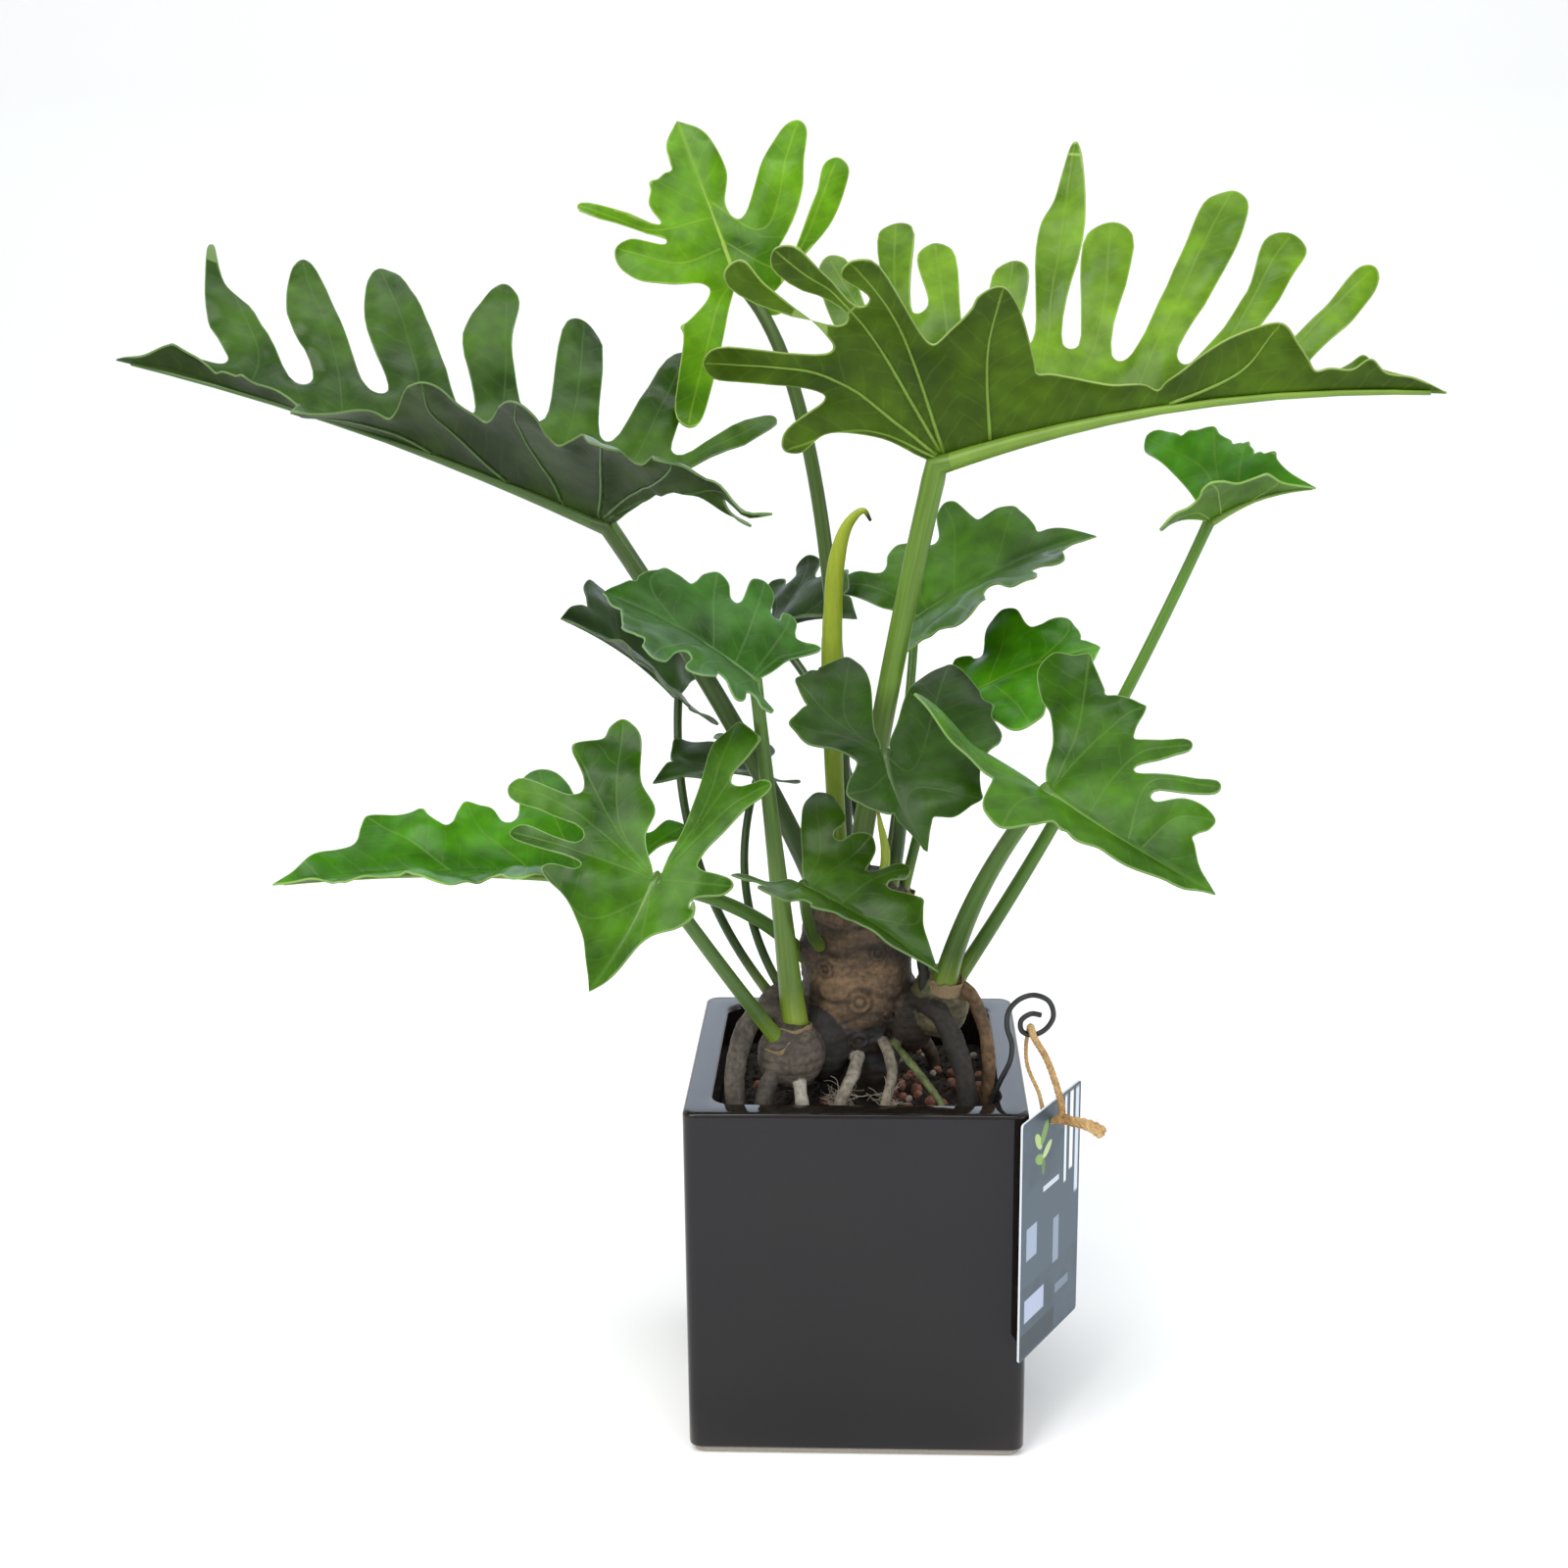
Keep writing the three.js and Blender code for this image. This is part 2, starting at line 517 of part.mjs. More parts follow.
// The woody trunk. With grow it is the hole that it leaves in the soil.
function trunkSolid(grow = 0) {
  const sides = 14;
  const profile = [
    [126, 12], [138, 16], [150, 18.5], [160, 17.5], [168, 19], [177, 23], [186, 24.5], [195, 23],
    [203, 24], [211, 22.5], [218, 23], [226, 21.5], [232, 18], [TRUNK_TOP, 12],
  ];
  const loops = profile.map(([z, radius]) => {
    const lean = ((z - 126) / 110) * 4;
    return Array.from({ length: sides }, (_, k) => {
      const turn = (2 * Math.PI * k) / sides;
      const knobbly = 1 + 0.035 * Math.sin(3 * turn + z / 9) + 0.025 * Math.sin(5 * turn - z / 6);
      const scar = 1.6 * Math.exp(-((z - 186) ** 2) / 30 - (turn - 4.76) ** 2 / 0.06);
      const size = (radius * knobbly + scar + grow) * (TRUNK_RADIUS / 21);
      return new THREE.Vector3(size * Math.cos(turn), size * Math.sin(turn) - 8 + lean, z);
    });
  });
  if (grow) loops[0].forEach((p) => (p.z -= grow));
  // Offshoots: centre and half sizes.
  const offshoots = [
    [[-27, -37, 166], [14, 12, 15]],
    [[-31, -24, 180], [11, 10, 12]],
    [[-14, -22, 166], [12, 12, 18]],
    [[35, -18, 183], [12.5, 11, 16]],
    [[22, -12, 174], [12, 12, 16]],
  ];
  const lumps = offshoots.map(([centre, half]) => {
    const lump = new THREE.SphereGeometry(1, 10, 7).rotateX(Math.PI / 2);
    return solidFrom(lump.scale(...half.map((h) => h + grow)).translate(...centre));
  });
  // Roots run down into the soil: their points, and their radius at both ends.
  const roots = [
    [
      [[-30, -32, 182], [-40, -36, 184], [-47, -42, 174], [-50, -46, 156], [-48, -48, 140], [-46, -48, 122]],
      4.6, 4,
    ],
    [[[-30, -40, 166], [-37, -48, 154], [-39, -50, 140], [-39, -50, 124]], 4, 3.4],
    [[[-24, -42, 160], [-22, -50, 150], [-21, -52, 138], [-21, -52, 124]], 3, 2.2],
    [[[2, -18, 164], [-1, -34, 157], [-7, -44, 146], [-9, -46, 124]], 3, 2.4],
    [[[8, -16, 172], [15, -34, 158], [12, -44, 146], [9, -46, 124]], 2.6, 2],
    [[[22, -16, 184], [34, -30, 182], [42, -40, 168], [46, -45, 150], [46, -46, 122]], 4.6, 4],
    [
      [[34, -18, 192], [46, -24, 190], [53, -32, 176], [55, -36, 160], [53, -37, 142], [52, -37, 124]],
      3, 2.6,
    ],
    [[[12, -16, 168], [25, -34, 158], [35, -46, 148], [38, -51, 138], [38, -52, 126]], 1.7, 1.4],
    [[[16, -12, 218], [25, -20, 210], [28, -23, 197], [28, -23, 184]], 2.6, 2.2],
    [[[-8, 2, 164], [-24, 18, 152], [-30, 24, 140], [-31, 25, 124]], 3.4, 2.6],
    [[[8, 2, 166], [26, 18, 154], [33, 26, 141], [35, 28, 124]], 3.6, 2.8],
  ];
  const bars = roots.map(([path, from, to]) => {
    const points = smooth(path, path.length + 1);
    if (grow) points[points.length - 1].z -= grow;
    return bar(points, taper(points, from + grow, to + grow), 5);
  });
  return Manifold.union([loft(loops), ...lumps, ...bars]);
}

// The spears are leaves still rolled up: a tapering roll with a curled tip.
const SPEARS = {
  spear_1: {
    path: [[-6, 1, 226], [-9, 2, 270], [-10, 4, 330], [-8, 5, 366], [-3, 5, 381], [3, 4, 386], [6, 3, 382]],
    radii: [3.6, 4, 4.4, 3.6, 2.2, 1.3, 0.6],
  },
  spear_2: {
    path: [[9, -18, 222], [11, -22, 236], [12, -25, 250], [10, -26.5, 262], [9, -27, 268]],
    radii: [2.2, 2.2, 2, 1.2, 0.5],
  },
};

function spearOf(spear, grow = 0) {
  const steps = spear.path.length + 4;
  const points = smooth(spear.path, steps);
  const radii = points.map((p, i) => {
    const place = (i / steps) * (spear.radii.length - 1);
    const low = Math.min(Math.floor(place), spear.radii.length - 2);
    return spear.radii[low] + (spear.radii[low + 1] - spear.radii[low]) * (place - low) + grow;
  });
  if (grow) points[0].z -= grow;
  return bar(points, radii, 7);
}

// Soil fills the pot. Its top is uneven and carries granules of fired clay.
function soilSolid() {
  const half = cavity - GAP;
  const cells = 8;
  const corners = [];
  const triangles = [];
  const n = cells + 1;
  for (let j = 0; j < n; j++) {
    for (let i = 0; i < n; i++) {
      const x = -half + (2 * half * i) / cells;
      const y = -half + (2 * half * j) / cells;
      const rim = i === 0 || j === 0 || i === cells || j === cells;
      const bump = 1.6 * Math.sin(0.31 * x + 1.3) * Math.cos(0.27 * y) + 1.1 * Math.sin(0.9 * x - 0.7 * y);
      const mound = 3 * Math.exp(-(x * x + y * y) / 1200);
      corners.push(new THREE.Vector3(x, y, soilTop + mound + (rim ? -1 : bump)));
    }
  }
  const top = corners.length;
  for (let k = 0; k < top; k++) corners.push(corners[k].clone().setZ(POT_FLOOR + 20));
  for (let j = 0; j < cells; j++) {
    for (let i = 0; i < cells; i++) {
      const a = j * n + i;
      triangles.push([a, a + 1, a + n + 1], [a, a + n + 1, a + n]);
      triangles.push([a + top, a + n + 1 + top, a + 1 + top], [a + top, a + n + top, a + n + 1 + top]);
    }
  }
  const rimOf = [];
  for (let i = 0; i < cells; i++) rimOf.push(i);
  for (let j = 0; j < cells; j++) rimOf.push(cells + j * n);
  for (let i = cells; i > 0; i--) rimOf.push(cells * n + i);
  for (let j = cells; j > 0; j--) rimOf.push(j * n);
  rimOf.forEach((a, k) => {
    const b = rimOf[(k + 1) % rimOf.length];
    triangles.push([a, b + top, b], [a, a + top, b + top]);
  });
  const bed = solidOf(corners, triangles);
  const walls = loft([
    roundSquare(cavity - 3 - GAP, 10, POT_FLOOR + GAP),
    roundSquare(half, 10, POT_FLOOR + 3 + GAP),
    roundSquare(half, 10, POT_HEIGHT),
  ]);
  const fill = solidFrom(new THREE.BoxGeometry(2 * half, 2 * half, 22).translate(0, 0, POT_FLOOR + 11));
  const granules = [
    [28, -8, 3.4], [37, -4, 3], [44, -12, 3.6], [32, 8, 3.2], [22, 30, 3], [-34, -2, 3.2], [-42, 12, 3.6],
    [-22, 40, 3], [4, 44, 3.4], [40, 38, 3.2], [-44, 40, 2.8], [50, 18, 3],
  ];
  const stones = granules.map(([x, y, size], i) => {
    const stone = new THREE.SphereGeometry(size, 5, 3).scale(1.2, 0.9, 0.8).rotateZ(i);
    return solidFrom(stone.translate(x, y, soilTop + 0.6));
  });
  const holes = [trunkSolid(GAP), wireSolid(GAP)];
  return Manifold.union([bed, fill, ...stones]).intersect(walls).subtract(Manifold.union(holes));
}

// The wire stands in the soil, leans over the rim and ends in a curl.
const WIRE = [
  [53, -46, 112], [54, -46.5, 134], [55.5, -47.5, 148], [58.5, -48.5, 158], [63, -50, 169], [63.5, -50, 176],
  [61.5, -50, 183], [62, -50, 190], [66, -50, 195], [72, -50, 197], [78, -50, 194.5], [80, -50, 188],
  [77, -50, 182.5], [72, -50, 180], [67.5, -50, 181.5], [67, -50, 186], [71, -50, 189], [75, -50, 188.5],
];

function wireSolid(grow = 0) {
  const points = smooth(WIRE, 30);
  if (grow) points[0].z -= grow;
  return bar(points, even(points, WIRE_RADIUS + grow), 6);
}

// The tag's middle at the height of its hole, and the way it runs from its near edge to its far one.
const TAG_AT = new THREE.Vector3(79.5, -57.5, 146);
const TAG_RUN = new THREE.Vector3(27, 49, 0).normalize();
const TAG_OUT = new THREE.Vector3(49, -27, 0).normalize();

function tagSolid() {
  const shape = new THREE.Shape();
  const w = TAG_WIDTH / 2;
  const top = 8;
  const low = top - TAG_HEIGHT;
  const r = 1.5;
  shape.moveTo(-w + r, low);
  shape.lineTo(w - r, low);
  shape.quadraticCurveTo(w, low, w, low + r);
  shape.lineTo(w, top - r);
  shape.quadraticCurveTo(w, top, w - r, top);
  shape.lineTo(-w + r, top);
  shape.quadraticCurveTo(-w, top, -w, top - r);
  shape.lineTo(-w, low + r);
  shape.quadraticCurveTo(-w, low, -w + r, low);
  const hole = new THREE.Path();
  hole.absarc(0, 0, TAG_HOLE, 0, 2 * Math.PI, true);
  shape.holes.push(hole);
  const options = { depth: TAG_THICK, bevelEnabled: false, curveSegments: 6 };
  const geometry = new THREE.ExtrudeGeometry(shape, options);
  geometry.translate(0, 0, -TAG_THICK / 2);
  const frame = new THREE.Matrix4().makeBasis(TAG_RUN, new THREE.Vector3(0, 0, 1), TAG_OUT);
  frame.setPosition(TAG_AT);
  geometry.applyMatrix4(frame);
  const mesh = new THREE.Mesh(geometry, new THREE.MeshStandardMaterial(FINISHES.card));
  mesh.name = "tag";
  return mesh;
}

// The twine hangs over the curl, goes through the tag's hole and is knotted on the tag's outer side.
function twineSolid() {
  const rise = 0.4;
  const at = (run, out, up) => {
    const p = TAG_AT.clone().addScaledVector(TAG_RUN, run).addScaledVector(TAG_OUT, out);
    return [p.x, p.y, p.z + up];
  };
  const loop = [
    [71, -50, 183.4], [72, -53.4, 180.4], [77, -55, 172], [81.5, -57.5, 160], at(0, 4.6, 5), at(0, 3.6, 1.2),
    at(0, 1.6, rise), at(0, -1.6, rise), at(0, -3.4, 2.6), [74.5, -53, 156], [70, -48, 166], [69.5, -47, 176],
    [70.4, -47.2, 180.2],
  ];
  const points = smooth(loop, 34, true);
  const ring = bar(points, even(points, TWINE_RADIUS), 6, true);
  const knot = solidFrom(new THREE.SphereGeometry(3, 7, 5).translate(...at(0, 4.8, 1.6)));
  const tail = smooth([at(0, 4.4, 1.5), at(0.5, 9, 1.2), at(1, 14, 1), at(1.5, 18, 0), at(1.5, 22, -1.5)], 6);
  return Manifold.union([ring, knot, bar(tail, taper(tail, 2, 3), 7)]);
}

const plant = new THREE.Group();
plant.add(meshOf("pot", potSolid(), "glaze"));
plant.add(meshOf("soil", soilSolid(), "earth"));

const sockets = Object.values(LEAVES).map((leaf) => stalkOf(leaf, GAP));
for (const spear of Object.values(SPEARS)) sockets.push(spearOf(spear, GAP));
plant.add(meshOf("trunk", trunkSolid().subtract(Manifold.union(sockets)), "bark"));

Object.entries(LEAVES).forEach(([name, leaf], i) => {
  plant.add(meshOf(name, leafOf(leaf, 1.7 * i), "leaf"));
});
for (const [name, spear] of Object.entries(SPEARS)) {
  plant.add(meshOf(name, spearOf(spear), "young_leaf"));
}

plant.add(meshOf("wire_hook", wireSolid(), "wire"));
plant.add(meshOf("twine", twineSolid(), "twine"));
plant.add(tagSolid());

export default plant;
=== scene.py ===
# A potted lacy tree philodendron: a young woody-stemmed plant with deeply cut leaves, in a glazed
# cube planter. Everything is in metres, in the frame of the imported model. Sizes written with MM are
# real sizes.
import math

import bmesh
import bpy
import numpy as np
from mathutils import Matrix, Vector, noise
from mathutils.geometry import delaunay_2d_cdt


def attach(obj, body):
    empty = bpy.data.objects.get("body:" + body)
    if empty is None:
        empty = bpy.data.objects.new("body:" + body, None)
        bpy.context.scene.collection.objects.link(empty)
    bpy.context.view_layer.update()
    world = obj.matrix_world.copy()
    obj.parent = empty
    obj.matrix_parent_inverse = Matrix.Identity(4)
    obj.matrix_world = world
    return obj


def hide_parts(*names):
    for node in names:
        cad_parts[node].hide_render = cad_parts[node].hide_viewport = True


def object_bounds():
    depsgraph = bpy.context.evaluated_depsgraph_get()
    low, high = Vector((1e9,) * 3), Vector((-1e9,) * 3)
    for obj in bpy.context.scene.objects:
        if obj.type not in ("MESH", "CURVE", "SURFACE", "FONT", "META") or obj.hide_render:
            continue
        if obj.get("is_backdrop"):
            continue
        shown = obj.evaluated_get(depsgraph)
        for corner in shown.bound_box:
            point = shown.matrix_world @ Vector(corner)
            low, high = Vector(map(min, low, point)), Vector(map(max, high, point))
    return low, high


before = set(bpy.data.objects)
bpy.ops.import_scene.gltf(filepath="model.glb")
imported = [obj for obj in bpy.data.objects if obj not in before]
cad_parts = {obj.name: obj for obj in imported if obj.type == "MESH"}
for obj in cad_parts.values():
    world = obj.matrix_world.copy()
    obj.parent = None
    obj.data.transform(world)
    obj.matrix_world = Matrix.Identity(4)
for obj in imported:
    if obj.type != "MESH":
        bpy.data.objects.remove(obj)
cad_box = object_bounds()
MM = 0.001


# The camera stands in front of the plant and a little above the pot, and looks down at it.
# It was set by the pot's edges in the photograph.
CAMERA_PLACE = Vector((10.05, -915.3, 506.8)) * MM
CAMERA_YAW = -0.0441
CAMERA_PITCH = 0.2508
CAMERA_ROLL = -0.0100
CAMERA_LENS = 51.85


def add_camera():
    level = Vector((math.cos(CAMERA_YAW), -math.sin(CAMERA_YAW), 0))
    ahead = Vector((math.sin(CAMERA_YAW), math.cos(CAMERA_YAW), 0)) * math.cos(CAMERA_PITCH)
    ahead.z = -math.sin(CAMERA_PITCH)
    over = level.cross(ahead)
    right = math.cos(CAMERA_ROLL) * level + math.sin(CAMERA_ROLL) * over
    up = -math.sin(CAMERA_ROLL) * level + math.cos(CAMERA_ROLL) * over
    camera = bpy.data.objects.new("camera", bpy.data.cameras.new("camera"))
    bpy.context.scene.collection.objects.link(camera)
    turn = Matrix((right, up, -ahead)).transposed()
    camera.matrix_world = Matrix.Translation(CAMERA_PLACE) @ turn.to_4x4()
    camera.data.lens = CAMERA_LENS
    camera.data.sensor_width = 36
    camera.data.clip_start = 0.05
    bpy.context.scene.camera = camera


add_camera()


# The studio is a white paper sweep under soft white light from all round, with the key light from
# the upper left and a fill from the right. Its colours are kept as they are, with no film look.
def linear(hex_colour):
    """A colour from its sRGB hex value, as linear red, green, blue and alpha."""
    parts = [int(hex_colour[i:i + 2], 16) / 255 for i in (1, 3, 5)]
    return tuple(p / 12.92 if p <= 0.04045 else ((p + 0.055) / 1.055) ** 2.4 for p in parts) + (1.0,)


def add_node(material, kind, inputs=None, **settings):
    """Adds a node to a material or a node group, sets it, and fills or links its inputs."""
    tree = getattr(material, "node_tree", None) or material
    made = tree.nodes.new(kind)
    for name, value in settings.items():
        setattr(made, name, value)
    for key, value in (inputs or {}).items():
        socket = made.inputs[key]
        if isinstance(value, bpy.types.NodeSocket):
            tree.links.new(value, socket)
        else:
            socket.default_value = value
    return made


def calculate(material, operation, *values):
    """The result of a sum on numbers or on other nodes' results."""
    return add_node(material, "ShaderNodeMath", dict(enumerate(values)), operation=operation).outputs[0]


def mix_colours(material, share, first, second, **settings):
    """The first colour where share is 0 and the second where it is 1, or the two blended as settings say."""
    inputs = {"Factor": share, "A": first, "B": second}
    return add_node(material, "ShaderNodeMix", inputs, data_type="RGBA", **settings).outputs["Result"]


def new_material(name):
    material = bpy.data.materials.new(name)
    material.use_nodes = True
    material.node_tree.nodes.clear()
    return material


def finish_material(material, **inputs):
    """Ends a material in the standard surface shader. An input's name has _ for each space."""
    sockets = {key.replace("_", " "): value for key, value in inputs.items()}
    shader = add_node(material, "ShaderNodeBsdfPrincipled", sockets)
    add_node(material, "ShaderNodeOutputMaterial", {"Surface": shader.outputs[0]})
    return material


def add_mesh(name, corners, faces, smooth=True):
    """A mesh object from points in millimetres."""
    mesh = bpy.data.meshes.new(name)
    mesh.from_pydata([(x * MM, y * MM, z * MM) for x, y, z in corners], [], faces)
    mesh.update()
    mesh.shade_smooth() if smooth else mesh.shade_flat()
    piece = bpy.data.objects.new(name, mesh)
    bpy.context.scene.collection.objects.link(piece)
    return piece


def add_light(name, place, aim, size, power, colour):
    light = bpy.data.lights.new(name, "AREA")
    light.shape = "RECTANGLE"
    light.size, light.size_y = size
    light.energy = power
    light.color = linear(colour)[:3]
    lamp = bpy.data.objects.new(name, light)
    bpy.context.scene.collection.objects.link(lamp)
    lamp.location = place
    lamp.rotation_euler = (Vector(aim) - Vector(place)).to_track_quat("-Z", "Y").to_euler()


def add_studio():
    scene = bpy.context.scene
    scene.view_settings.view_transform = "Standard"
    scene.view_settings.look = "None"
    world = bpy.data.worlds.new("studio_light")
    world.use_nodes = True
    world.node_tree.nodes["Background"].inputs["Color"].default_value = linear("#f4f7fa")
    world.node_tree.nodes["Background"].inputs["Strength"].default_value = 0.78
    scene.world = world
    width, front, back, radius, top = 6000, -3000, 1500, 900, 3200
    profile = [(front, 0)]
    for k in range(13):
        turn = math.pi / 2 * k / 12
        profile.append((back + radius * math.sin(turn), radius * (1 - math.cos(turn))))
    profile.append((back + radius, top))
    corners = [(x, y, z) for y, z in profile for x in (-width, width)]
    faces = [(2 * k, 2 * k + 1, 2 * k + 3, 2 * k + 2) for k in range(len(profile) - 1)]
    sweep = add_mesh("paper_sweep", corners, faces)
    paper = new_material("white_background_paper")
    sweep.data.materials.append(finish_material(paper, Base_Color=linear("#f7f7f6"), Roughness=0.9))
    sweep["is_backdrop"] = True
    add_light("key", (-0.9, -1.1, 1.7), (0, 0, 0.3), (1.3, 1.3), 26, "#fffdf8")
    add_light("strip", (-0.1, -0.62, 1.7), (0, 0, 0.2), (1.5, 0.3), 9, "#ffffff")
    add_light("blue_rim", (0, 2.2, 1.08), (0, 0, 0.2), (2.8, 0.62), 5.2, "#c6e0ff")
    add_light("fill", (1.4, -0.7, 1.0), (0, 0, 0.3), (1.0, 1.0), 7, "#f3f7ff")
    add_light("top", (0.1, 0.5, 1.9), (0, 0, 0.35), (1.4, 1.0), 7, "#ffffff")


add_studio()


# The pot is a slip-cast stoneware cube in a thick glossy black glaze, which thins to brown on its
# edges. The foot is wiped clean of glaze before firing, so it shows the pale clay.
POT_WIDTH = 140
POT_HEIGHT = 153
POT_WALL = 11.5
POT_FLOOR = 10
POT_CORNER = 5
RIM_ROUND = 2
FOOT_INSET = 2
FOOT_HEIGHT = 2.5
CAVITY = POT_WIDTH / 2 - POT_WALL


def round_square(half, corner, z, steps=8):
    """A square with round corners, counterclockwise, with points along its sides too."""
    loop = []
    straight = 4
    for quarter, (sx, sy) in enumerate(((1, 1), (-1, 1), (-1, -1), (1, -1))):
        for k in range(steps + 1):
            turn = math.pi / 2 * (quarter + k / steps)
            loop.append((sx * (half - corner) + corner * math.cos(turn),
                         sy * (half - corner) + corner * math.sin(turn), z))
        end = loop[-1]
        reach = 2 * (half - corner)
        along = (-math.sin(turn), math.cos(turn))
        for k in range(1, straight):
            step = reach * k / straight
            loop.append((end[0] + along[0] * step, end[1] + along[1] * step, z))
    return loop


def lofted(loops, closed_ends=True):
    """Corners and faces of a skin through equal loops."""
    n = len(loops[0])
    corners = [point for loop in loops for point in loop]
    faces = []
    for i in range(len(loops) - 1):
        for k in range(n):
            a, b = i * n + k, i * n + (k + 1) % n
            faces.append((a, b, b + n, a + n))
    if closed_ends:
        faces.append(tuple(range(n))[::-1])
        faces.append(tuple(range((len(loops) - 1) * n, len(loops) * n)))
    return corners, faces


def pot_loops():
    half = POT_WIDTH / 2
    inner = 10
    loops = [
        round_square(half - FOOT_INSET - 0.5, POT_CORNER, 0),
        round_square(half - FOOT_INSET - 0.1, POT_CORNER, 0.15),
        round_square(half - FOOT_INSET, POT_CORNER, 0.5),
        round_square(half - FOOT_INSET, POT_CORNER, FOOT_HEIGHT - 0.3),
        round_square(half - FOOT_INSET + 0.15, POT_CORNER, FOOT_HEIGHT),
        round_square(half - 0.9, POT_CORNER, FOOT_HEIGHT + 0.25),
        round_square(half - 0.25, POT_CORNER, FOOT_HEIGHT + 0.8),
        round_square(half, POT_CORNER, FOOT_HEIGHT + 1.6),
    ]
    for z in (20, 50, 80, 110, 135, 147):
        loops.append(round_square(half, POT_CORNER, z))
    turns = [math.radians(t) for t in (0, 15, 30, 45, 60, 75, 90)]
    for turn in turns:
        inset, drop = RIM_ROUND * (1 - math.cos(turn)), RIM_ROUND * (1 - math.sin(turn))
        loops.append(round_square(half - inset, POT_CORNER, POT_HEIGHT - drop))
    for turn in turns[::-1]:
        inset, drop = RIM_ROUND * (1 - math.cos(turn)), RIM_ROUND * (1 - math.sin(turn))
        loops.append(round_square(CAVITY + inset, inner, POT_HEIGHT - drop))
    loops.append(round_square(CAVITY, inner, 120))
    loops.append(round_square(CAVITY, inner, POT_FLOOR + 3))
    loops.append(round_square(CAVITY - 1, inner, POT_FLOOR + 0.8))
    loops.append(round_square(CAVITY - 3, inner, POT_FLOOR))
    return loops


def black_glaze():
    """Fired gloss glaze: a deep, nearly black brown that mirrors its surroundings, with the faint ripple of a
    poured glaze and a browner, thinner coat along the edges."""
    material = new_material("black_gloss_glaze")
    place = add_node(material, "ShaderNodeTexCoord").outputs["Object"]
    pool = add_node(material, "ShaderNodeTexNoise", {"Vector": place, "Scale": 1 / (60 * MM), "Detail": 3.0})
    speck = add_node(material, "ShaderNodeTexNoise", {"Vector": place, "Scale": 1 / (1.2 * MM),
                     "Detail": 2.0})
    tint = mix_colours(material, pool.outputs[0], linear("#14100d"), linear("#1f1814"))
    edge = add_node(material, "ShaderNodeNewGeometry").outputs["Pointiness"]
    thin = add_node(material, "ShaderNodeMapRange", {"Value": edge, "From Min": 0.52, "From Max": 0.6})
    worn = mix_colours(material, thin.outputs[0], tint, linear("#3a2c22"))
    gloss = add_node(material, "ShaderNodeMapRange", {"Value": speck.outputs[0], "To Min": 0.06,
                     "To Max": 0.12})
    ripple = add_node(material, "ShaderNodeTexNoise", {"Vector": place, "Scale": 1 / (14 * MM),
                      "Detail": 1.0})
    bump = add_node(material, "ShaderNodeBump", {"Height": ripple.outputs[0], "Strength": 0.12,
                    "Distance": 0.3 * MM})
    return finish_material(material, Base_Color=worn, Roughness=gloss.outputs[0],
                           Normal=bump.outputs[0], IOR=1.46,
                           Specular_Tint=linear("#d8e0ec"))


def bare_clay():
    """Unglazed stoneware at the foot: pale grey-buff, dry and gritty."""
    material = new_material("unglazed_stoneware")
    place = add_node(material, "ShaderNodeTexCoord").outputs["Object"]
    grit = add_node(material, "ShaderNodeTexNoise", {"Vector": place, "Scale": 1 / (0.8 * MM), "Detail": 4.0})
    tint = mix_colours(material, grit.outputs[0], linear("#8d857b"), linear("#b9b1a6"))
    bump = add_node(material, "ShaderNodeBump", {"Height": grit.outputs[0], "Strength": 0.5,
                    "Distance": 0.2 * MM})
    return finish_material(material, Base_Color=tint, Roughness=0.9, Normal=bump.outputs[0])


def add_pot():
    pot = add_mesh("glazed_pot", *lofted(pot_loops()))
    pot.data.materials.append(black_glaze())
    pot.data.materials.append(bare_clay())
    for face in pot.data.polygons:
        if face.center.z < FOOT_HEIGHT * MM:
            face.material_index = 1
        if len(face.vertices) > 4:
            face.use_smooth = False
    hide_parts("pot")
    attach(pot, "root")


add_pot()


def smooth_line(path, steps, closed=False):
    """Points along a smooth line through the given ones, with so many steps from each to the next."""
    path = [Vector(p) for p in path]
    count = len(path)
    if closed:
        path = [path[-1]] + path + path[:2]
    else:
        path = [path[0] * 2 - path[1]] + path + [path[-1] * 2 - path[-2]]
    points = []
    for i in range(1, len(path) - 2):
        a, b, c, d = path[i - 1:i + 3]
        before, here, after = (max((q - p).length, 1e-6) ** 0.5 for p, q in ((a, b), (b, c), (c, d)))
        leave = ((b - a) / before - (c - a) / (before + here) + (c - b) / here) * here
        arrive = ((c - b) / here - (d - b) / (here + after) + (d - c) / after) * here
        for k in range(steps):
            t = k / steps
            bend = (c - b) * 3 - leave * 2 - arrive
            points.append(b + leave * t + bend * t * t + ((b - c) * 2 + leave + arrive) * t ** 3)
    if not closed:
        points.append(path[count])
    return points


def tube(path, radii, sides, closed=False):
    """Corners and faces of a round bar along points, closed at both ends or joined end to end."""
    corners, faces = [], []
    across = None
    last = len(path) - 1
    for i, point in enumerate(path):
        ahead = path[(i + 1) % len(path) if closed else min(i + 1, last)]
        along = (ahead - path[i - 1 if closed else max(i - 1, 0)]).normalized()
        if across is None:
            across = Vector((0, 1, 0)).cross(along)
            if across.length < 0.1:
                across = Vector((1, 0, 0))
        across = (across - along * across.dot(along)).normalized()
        up = along.cross(across)
        for k in range(sides):
            turn = 2 * math.pi * k / sides
            corners.append(point + across * radii[i] * math.cos(turn) + up * radii[i] * math.sin(turn))
    for i in range(len(path) if closed else last):
        low, high = i * sides, (i + 1) % len(path) * sides
        for k in range(sides):
            following = (k + 1) % sides
            faces.append((low + k, low + following, high + following, high + k))
    if not closed:
        faces.append(tuple(range(sides))[::-1])
        faces.append(tuple(range(last * sides, len(path) * sides)))
    return corners, faces


# Grains below this size are small enough to be made of fewer faces.
FINE_GRAIN = 3 * MM


